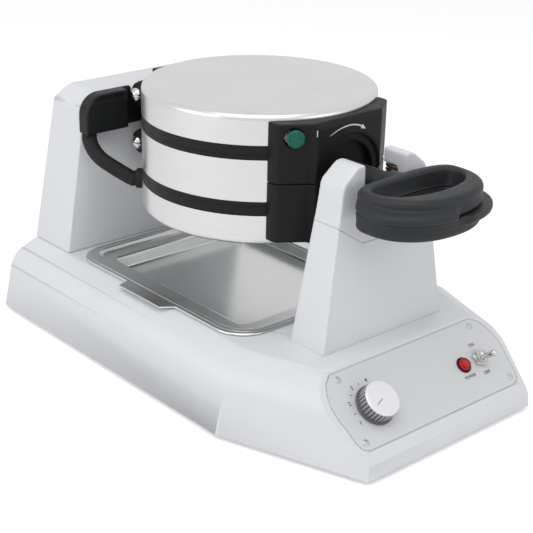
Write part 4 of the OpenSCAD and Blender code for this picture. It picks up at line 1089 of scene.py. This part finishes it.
def tray_tab():
    """The pull tab on the left, a plate with its edges eased."""
    under = (TRAY_HIGH[2] - TAB_THICK) * MM
    bm = slab([(x * MM, AXLE.y + y * MM, under) for x, y in TAB_OUTLINE], (0, 0, TAB_THICK * MM))
    bmesh.ops.bevel(bm, geom=list(bm.edges), offset=TAB_ROUND * MM, segments=3, affect="EDGES",
                    profile=0.5)
    return mesh_from(bm, "tray_tab")


def level_flats(mesh):
    """Smooth shading that keeps wide faces flat, because each face counts by its area."""
    for face in mesh.polygons:
        face.use_smooth = True
    carrier = carry(mesh)
    carrier.modifiers.new("level", "WEIGHTED_NORMAL").weight = FLATTEN
    return bake(carrier)


def tray_mesh():
    """The sheet: the path's upper side, its lower side, and the two ends that close them."""
    path = filleted(TRAY_SECTION, TRAY_FOLDS)
    bm = bmesh.new()
    sides = ([], [])
    for i, point in enumerate(path):
        run = (path[min(i + 1, len(path) - 1)] - path[max(i - 1, 0)]).normalized()
        out = Vector((-run.y, run.x)) * TRAY_SHEET / 2
        for rings, edge in zip(sides, (point + out, point - out)):
            rings.append([bm.verts.new(place) for place in tray_ring(*edge)])
    upper, lower = sides
    loop = upper[::-1] + lower
    skin(bm, loop)
    bm.faces.new(loop[0])
    bm.faces.new(loop[-1])
    return mesh_from(bm, "tray")


dress("drip_tray", level_flats(joined("drip_tray_finish", tray_mesh(), tray_tab())), smooth=None)

# %% [markdown]
# ## The dial
# The dial is a turned body with thirty ribs to grip and a pale printed disc on top. The ribs
# are half-round bars, repeated round the body, which is a darker grey between them: painted
# shade in the hollows. A short dark line on the disc is the pointer.

# %% Turn the dial and its ribs
DIAL_R, DIAL_TOP, RIBS = 15.1, 14.2, 30
DIAL_STEPS = 90

dial_place = on_panel(DIAL_X, DIAL_S)
dial_body = lathe([(0, 0.7), (16.6, 0.7), *arc(16.5, 1.6, 0.9, -60, 90), (DIAL_R + 0.2, 2.7),
                   (DIAL_R, 3.4), (DIAL_R, 12.4), (DIAL_R - 0.4, 13.0), (0, 13.0)], DIAL_STEPS)
rib = lathe([(0, 2.2), (0.7, 2.3), (1.0, 2.9), (1.0, 11.9), (0.6, 12.7), (0, 12.9)], 10)
rib_places = [dial_place @ Matrix.Rotation(2 * math.pi * i / RIBS, 4, "Z")
              @ Matrix.Translation((DIAL_R * MM, 0, 0)) for i in range(RIBS)]
# The ribs' paler edges are partly wear and partly painted highlight.
ribs = repeated(rib, rib_places, FINISHES["knob_grey"])
# The body between the ribs wears the darker grey: painted shade in the hollows.
dress("control_knob", placed(dial_body, dial_place), KNOB_PAINTED_SHADE)
put_piece("control_knob_ribs", ribs, BODY_OF["control_knob"], "knob_grey")
dial_disc = lathe([(0, 12.7), (DIAL_R - 0.9, 12.7),
                   *arc(DIAL_R - 0.6, DIAL_TOP - 0.9, 1.1, -20, 90),
                   (DIAL_R - 3, DIAL_TOP + 0.26), (0, DIAL_TOP + 0.3)], DIAL_STEPS)
dress("knob_face", placed(dial_disc, dial_place))

# %% [markdown]
# ## Printing
# Numbers, ticks and words are ink a few hundredths of a millimetre thick. Letters are text
# objects made into thin closed meshes. Ticks and the pointer are small bars.

# %% Ink: letters and bars
INK = 0.06
CAPITAL = 0.7  # a capital's height in a text of size 1


def letters(text, height, weight=0.07):
    """Centred text as a thin solid. height is a capital's, weight is added round each stroke."""
    curve = bpy.data.curves.new("letters", "FONT")
    curve.body = text
    curve.align_x = "CENTER"
    curve.align_y = "CENTER"
    curve.size = height * MM / CAPITAL
    curve.extrude = INK * MM / 2
    curve.offset = weight * MM
    curve.resolution_u = 4
    return bake(carry(curve, "letters"))


def bar(width, length):
    """A flat bar of ink along Y with its corners cut."""
    w, h, c = width / 2, length / 2, min(width, length) / 4
    outline = [(-w + c, -h), (w - c, -h), (w, -h + c), (w, h - c),
               (w - c, h), (-w + c, h), (-w, h - c), (-w, -h + c)]
    points = [(x * MM, y * MM, -INK * MM / 2) for x, y in outline]
    return mesh_from(slab(points, (0, 0, INK * MM)), "bar")


print("a tick has", len(bar(0.6, 2.2).polygons), "faces")

# %% Print the control face
NUMBER_RING, TICK_RING, DOT_RING, DOT_R = 22.6, 21.3, 21.5, 0.75
NUMBERS = {"1": -112, "2": -67, "3": -28, "4": 17}  # degrees clockwise from up the slope
TICKS, END_DOT, POINTER_TURN = (-90, -45, -6), 118, 112
WORDS = (("ON", 3.0, 69, 27.6), ("OFF", 3.0, 67.6, 54.6), ("POWER", 2.7, 48, 52.2))


def on_ring(degrees, radius):
    """A place round the dial, as x and s on the control face."""
    a = math.radians(degrees)
    return DIAL_X + radius * math.sin(a), DIAL_S - radius * math.cos(a)


panel_ink = [placed(letters(text, 3.6), on_panel(*on_ring(degrees, NUMBER_RING), INK / 2))
             for text, degrees in NUMBERS.items()]
panel_ink += [placed(letters(text, size), on_panel(x, slope, INK / 2))
              for text, size, x, slope in WORDS]
tick_places = [on_panel(*on_ring(degrees, TICK_RING), INK / 2, degrees) for degrees in TICKS]
panel_ink.append(repeated(bar(0.6, 2.2), tick_places, PRINT_DARK))
dot = lathe([(0, -INK / 2), (DOT_R, -INK / 2), (DOT_R, INK / 2), (0, INK / 2)], 20)
panel_ink.append(placed(dot, on_panel(*on_ring(END_DOT, DOT_RING), INK / 2)))
put_piece("panel_print", joined("panel_print", *panel_ink), BODY_OF["control_plate"],
          "control_plate", PRINT_DARK)
pointer_place = (dial_place @ Matrix.Rotation(math.radians(POINTER_TURN), 4, "Z")
                 @ Matrix.Translation((0, 5.2 * MM, (DIAL_TOP + 0.33) * MM)))
put_piece("knob_pointer", placed(bar(0.55, 8.4), pointer_place), BODY_OF["knob_face"],
          "knob_face", PRINT_DARK)
print("printed", len(panel_ink), "groups of marks")

# %% [markdown]
# ## Switch, lamps and rivets
# The toggle is a bat-shaped lever, thicker at its round tip, in a hexagon nut with chamfered
# corners. The power light has a bezel with a domed red lens. The rivets are shallow domes.

# %% Make the switch
NUT_FLATS, NUT_HIGH, NUT_HOLE, NUT_CHAMFER, NUT_STEPS = 14, 3.4, 5.4, 0.6, 48
LEVER_LEAN = 13


def hexagon_nut():
    """A hexagon nut whose corners are chamfered top and bottom, with a plain hole."""
    half = NUT_FLATS / 2
    corner = NUT_FLATS / math.sqrt(3)
    turns = [2 * math.pi * i / NUT_STEPS for i in range(NUT_STEPS)]
    edges = [half / math.cos((a + math.pi / 6) % (math.pi / 3) - math.pi / 6) for a in turns]
    full = [min(edge, corner) for edge in edges]
    cut = [min(edge, half + 0.05) for edge in edges]
    hole = [NUT_HOLE] * NUT_STEPS
    bm = bmesh.new()
    rings = [circle(bm, radii, height) for radii, height in (
        (cut, 0), (full, NUT_CHAMFER), (full, NUT_HIGH - NUT_CHAMFER), (cut, NUT_HIGH),
        (hole, NUT_HIGH), (hole, 0))]
    skin(bm, rings + rings[:1])
    return mesh_from(bm, "nut")


switch_place = on_panel(68, 41)
dress("switch_nut", placed(hexagon_nut(), switch_place))
collar = lathe([(0, 0.4), (5.6, 0.4), (5.6, 4.6), *arc(4.9, 4.9, 0.7, 0, 90), (3.4, 5.6),
                (3.0, 5.2), (0, 4.6)], 40)
put_piece("switch_collar", placed(collar, switch_place), BODY_OF["switch_nut"],
          SLOT_OF["switch_nut"])
lever = lathe([(0, -2), (1.5, -2), (1.6, 5), (2.0, 9), (2.6, 15),
               *arc(0.4, 19.3, 2.55, 10, 80, 6), (0, 21.9)], 32)
lean = Matrix.Rotation(math.radians(LEVER_LEAN), 4, "X")
dress("toggle_lever", placed(lever, switch_place @ lean), smooth=50)

# %% Make the power light and the rivets
light_place = on_panel(48, 41)
bezel = lathe([(0, 0), (7.1, 0), *arc(6.6, 0.9, 0.5, 0, 90), (6.2, 1.4), (5.9, 0.6), (0, 0.6)], 48)
put_piece("light_bezel", placed(bezel, light_place), BODY_OF["power_light"], "black_rubber")
lens = lathe([(0, -4), (5.7, -4), (5.7, 2.6), *arc(4.7, 2.6, 1.0, 0, 70), (3.6, 3.75),
              (2.0, 3.95), (0, 4)], 48)
dress("power_light", placed(lens, light_place), smooth=50)
shade = lathe([(4.4, 3.2), (5.0, 3.0), (5.1, 3.75), (4.6, 3.95)], 48)
put_piece("light_shade_ring", placed(shade, light_place), BODY_OF["power_light"], "black_rubber")
rivet = lathe([(0, -3), (1.6, -3), (1.6, 0), (2.8, 0), *arc(2.4, 0.3, 0.45, 0, 60, 3),
               (1.2, 0.88), (0, 0.9)], 24)
rivet_places = [on_panel(hand * x, down) for hand in (-1, 1)
                for x, down in ((79.5, 11.6), (88, 66.3))]
dress("plate_rivets", repeated(rivet, rivet_places, FINISHES[SLOT_OF["plate_rivets"]]), smooth=60)

# %% [markdown]
# A ready light is a green lens in the chamfered corner of each bracket. Its face carries fine
# moulded ribs, so that it scatters light. The ribs are round bars sunk to half their depth, each
# as long as the lens is wide there.

# %% Make the ready lights
READY_TURN = math.radians(34.9)
READY_AT = drum_point(-52.4, -104.6, 39.5)
LENS_RIBS, RIB_PITCH, RIB_R, RIB_HEIGHT, RIBBED_R = 11, 1.2, 0.5, 1.36, 6.6


def ready_lens():
    """The lens about its own axis, which points out of the bracket."""
    parts = [lathe([(0, -14), (7.4, -14), (7.4, 0.2), *arc(6.7, 0.4, 0.9, 0, 70, 3), (5, 1.55),
                    (2.5, 1.8), (0, 1.9)], 56)]
    upright = Matrix.Rotation(math.pi / 2, 4, "X")
    for i in range(LENS_RIBS):
        x = (i - LENS_RIBS // 2) * RIB_PITCH
        reach = math.sqrt(RIBBED_R ** 2 - x * x)
        rib_bar = lathe([(0, -reach), (RIB_R - 0.1, -reach + 0.2), (RIB_R, -reach + 0.8),
                         (RIB_R, reach - 0.8), (RIB_R - 0.1, reach - 0.2), (0, reach)], 10)
        parts.append(placed(rib_bar, Matrix.Translation((x * MM, 0, RIB_HEIGHT * MM)) @ upright))
    return joined("ready_lens", *parts)


out = Vector((-math.sin(READY_TURN), -math.cos(READY_TURN), 0))
side = Vector((math.cos(READY_TURN), -math.sin(READY_TURN), 0))
stand = Matrix((side, Vector((0, 0, 1)), out)).transposed().to_4x4()
top_ready = placed(ready_lens(), Matrix.Translation(READY_AT) @ stand)
dress("top_ready_light", top_ready, smooth=50)
dress("bottom_ready_light", half_turned(top_ready, "bottom_ready"), smooth=50)

# %% [markdown]
# ## The brackets' printing
# A curved white arrow over the stem shows which way to turn the drum, and each lid has its
# number beside the ready light. The arrow is a ribbon along a smooth line, with a pointed head.

# %% The arrow's outline
ARROW_SPINE = ((-24.0, 39.2), (-12.9, 43.1), (-1.5, 44.5), (7.4, 43.2), (12.4, 41.2))
ARROW_TIP, HEAD_HALF = Vector((17.2, 38.2)), 2.1
TAIL_HALF, BODY_HALF, WIDENS_OVER = 0.2, 0.6, 14


def smooth_line(points, steps=8):
    """A smooth line through points, four at a time."""
    ends = [2 * points[0] - points[1]] + list(points) + [2 * points[-1] - points[-2]]
    line = []
    for p0, p1, p2, p3 in zip(ends, ends[1:], ends[2:], ends[3:]):
        for i in range(steps):
            t = i / steps
            line.append(0.5 * (2 * p1 + (p2 - p0) * t + (2 * p0 - 5 * p1 + 4 * p2 - p3) * t * t
                               + (3 * p1 - p0 - 3 * p2 + p3) * t ** 3))
    return line + [points[-1]]


def arrow_outline():
    """The arrow's outline as x and height above the axle."""
    spine = smooth_line([Vector(point) for point in ARROW_SPINE])
    upper, lower = [], []
    for i, point in enumerate(spine):
        run = (spine[min(i + 1, len(spine) - 1)] - spine[max(i - 1, 0)]).normalized()
        half = TAIL_HALF + (BODY_HALF - TAIL_HALF) * min(1, i / WIDENS_OVER)
        across = Vector((-run.y, run.x)) * half
        upper.append(point + across)
        lower.append(point - across)
    run = (ARROW_TIP - spine[-1]).normalized()
    across = Vector((-run.y, run.x)) * HEAD_HALF
    return upper + [spine[-1] + across, ARROW_TIP, spine[-1] - across] + lower[::-1]


print("arrow length about", round((arrow_outline()[0] - ARROW_TIP).length), "mm")

# %% Print the brackets
FACE_Y = 114.5
DIGIT_X, DIGIT_Z, DIGIT_HIGH, DIGIT_BOLD = -38.2, 43.4, 5.4, 0.16


def lid_print(text):
    """The arrow and a lid's number, on the face of the top bracket."""
    bm = slab([drum_point(p.x, -FACE_Y, p.y) for p in arrow_outline()], (0, -INK * MM, 0))
    bmesh.ops.triangulate(bm, faces=bm.faces)
    arrow = mesh_from(bm, "arrow")
    digit_place = Matrix.Translation(drum_point(DIGIT_X, -FACE_Y - INK / 2, DIGIT_Z))
    digit = placed(letters(text, DIGIT_HIGH, DIGIT_BOLD),
                   digit_place @ Matrix.Rotation(math.pi / 2, 4, "X"))
    return joined("lid_print", arrow, digit)


top_print = lid_print("1")
bottom_print = half_turned(lid_print("2"), "lid_print_2")
put_piece("top_bracket_print", top_print, "top_lid", "dark_casting", PRINT_WHITE)
put_piece("bottom_bracket_print", bottom_print, "bottom_lid", "dark_casting", PRINT_WHITE)
print("each print has about", len(top_print.polygons), "faces")

# %% [markdown]
# ## Cable hoses
# A hose with fine rings carries each lid's leads from the gland to the arm beside the hinge. A
# tree sweeps a circle along the route, and narrows and widens it to make the rings.

# %% The tree that sweeps a ringed sleeve
SLEEVE_SIDES = 28


def make_sleeve_tree():
    """Sweeps a circle along a route. Its radius rises and falls once in every pitch."""
    group = Group("ringed_sleeve", [("Route", "Geometry"), ("Radius", "Float"), ("Pitch", "Float"),
                                    ("Ring depth", "Float"), ("Step", "Float"),
                                    ("Finish", "Material")], [("Sleeve", "Geometry")],
                  "GeometryNodeTree")
    start = group.start
    curve = group.add("GeometryNodeMeshToCurve", Mesh=start["Route"]).outputs[0]
    even = group.add("GeometryNodeResampleCurve", {"mode": "LENGTH"}, Curve=curve,
                     Length=start["Step"]).outputs[0]
    along = group.add("GeometryNodeSplineParameter").outputs["Length"]
    angle = group.maths("MULTIPLY", group.maths("DIVIDE", along, start["Pitch"]), 2 * math.pi)
    wave = group.maths("MULTIPLY", group.maths("COSINE", angle), start["Ring depth"])
    sized = group.add("GeometryNodeSetCurveRadius", Curve=even,
                      Radius=group.maths("ADD", wave, start["Radius"])).outputs[0]
    section = group.add("GeometryNodeCurvePrimitiveCircle", Resolution=SLEEVE_SIDES, Radius=1.0)
    width = group.add("GeometryNodeInputRadius").outputs[0]
    swept = group.add("GeometryNodeCurveToMesh", Curve=sized, Profile_Curve=section.outputs[0],
                      Scale=width, Fill_Caps=True).outputs[0]
    real = group.add("GeometryNodeRealizeInstances", Geometry=swept).outputs[0]
    paint = group.add("GeometryNodeSetMaterial", Geometry=real, Material=start["Finish"])
    group.feed(paint.outputs[0], group.end["Sleeve"])
    return group.tree


SLEEVE = make_sleeve_tree()
print("tree:", SLEEVE.name, "with", len(SLEEVE.nodes), "nodes")

# %% Sweep both hoses
HOSE_R, HOSE_Z, HOSE_TURN = 6.7, 38, math.radians(43.5)
GLAND_OUT, HOSE_LEAD, ROUTE_STEPS = 110, 3, 6
RING_PITCH, RING_DEPTH, SLEEVE_STEP = 2.3, 0.28, 0.38
ARM_END = Vector((86.5, 140.2, 8))
BEND = [Vector(point) for point in ((87, 103, 31), (91, 118, 25), (90, 131, 18.5))]
OUTWARD = Vector((math.sin(HOSE_TURN), math.cos(HOSE_TURN), 0))


def hose_route():
    """The route's points, from the lid's gland to the arm beside the hinge, straight at both."""
    gland = OUTWARD * GLAND_OUT + Vector((0, 0, HOSE_Z))
    points = [gland + OUTWARD * i * HOSE_LEAD for i in range(3)]
    points += BEND
    points += [ARM_END + Vector((0, 0, i * HOSE_LEAD)) for i in (2, 1, 0)]
    return smooth_line(points, ROUTE_STEPS)


def hose_mesh():
    """The ringed sleeve along the route."""
    route = [drum_point(*point) for point in hose_route()]
    line = bpy.data.meshes.new("route")
    line.from_pydata(route, [(i, i + 1) for i in range(len(route) - 1)], [])
    return run_tree(carry(line), SLEEVE, Radius=HOSE_R * MM, Pitch=RING_PITCH * MM,
                    Step=SLEEVE_STEP * MM, Finish=FINISHES["black_rubber"],
                    **{"Ring depth": RING_DEPTH * MM})


top_hose = hose_mesh()
bottom_hose = half_turned(top_hose, "bottom_hose")
print("hose:", len(top_hose.polygons), "faces")

# %% [markdown]
# The hose is put on no body, with its place in its own vertices. A short rubber cuff covers the
# place where it enters the cover's side.


def put_hose(mesh, lid):
    """A hose rides on no body. It stands for the lid's hose node, and its place is in its vertices.
    """
    node = lid.replace("lid", "cable_hose")
    hose = put_piece(node + "_finish", mesh, None, "black_rubber", stands_for=[node], smooth=60)
    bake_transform(hose)


put_hose(top_hose, "top_lid")
put_hose(bottom_hose, "bottom_lid")

# %% Cuffs where the hoses enter the covers
COVER_R = 104
cuff = lathe([(6.2, -1.5), (8.8, -1.5), (9.1, -0.9), (9.1, 5.6), *arc(8.2, 5.9, 0.9, 0, 90),
              (6.2, 6.9)], 40)
cuff_turn = Matrix.Rotation(-HOSE_TURN, 4, "Z") @ Matrix.Rotation(-math.pi / 2, 4, "X")
cuff_foot = OUTWARD * COVER_R + Vector((0, 0, HOSE_Z))
top_cuff = placed(cuff, Matrix.Translation(drum_point(*cuff_foot)) @ cuff_turn)
put_piece("top_hose_cuff", top_cuff, "top_lid", "black_rubber")
put_piece("bottom_hose_cuff", half_turned(top_cuff, "bottom_cuff"), "bottom_lid", "black_rubber")
print("cuff:", len(top_cuff.polygons), "faces")

# %% Bring the view layer up to date
bpy.context.view_layer.update()
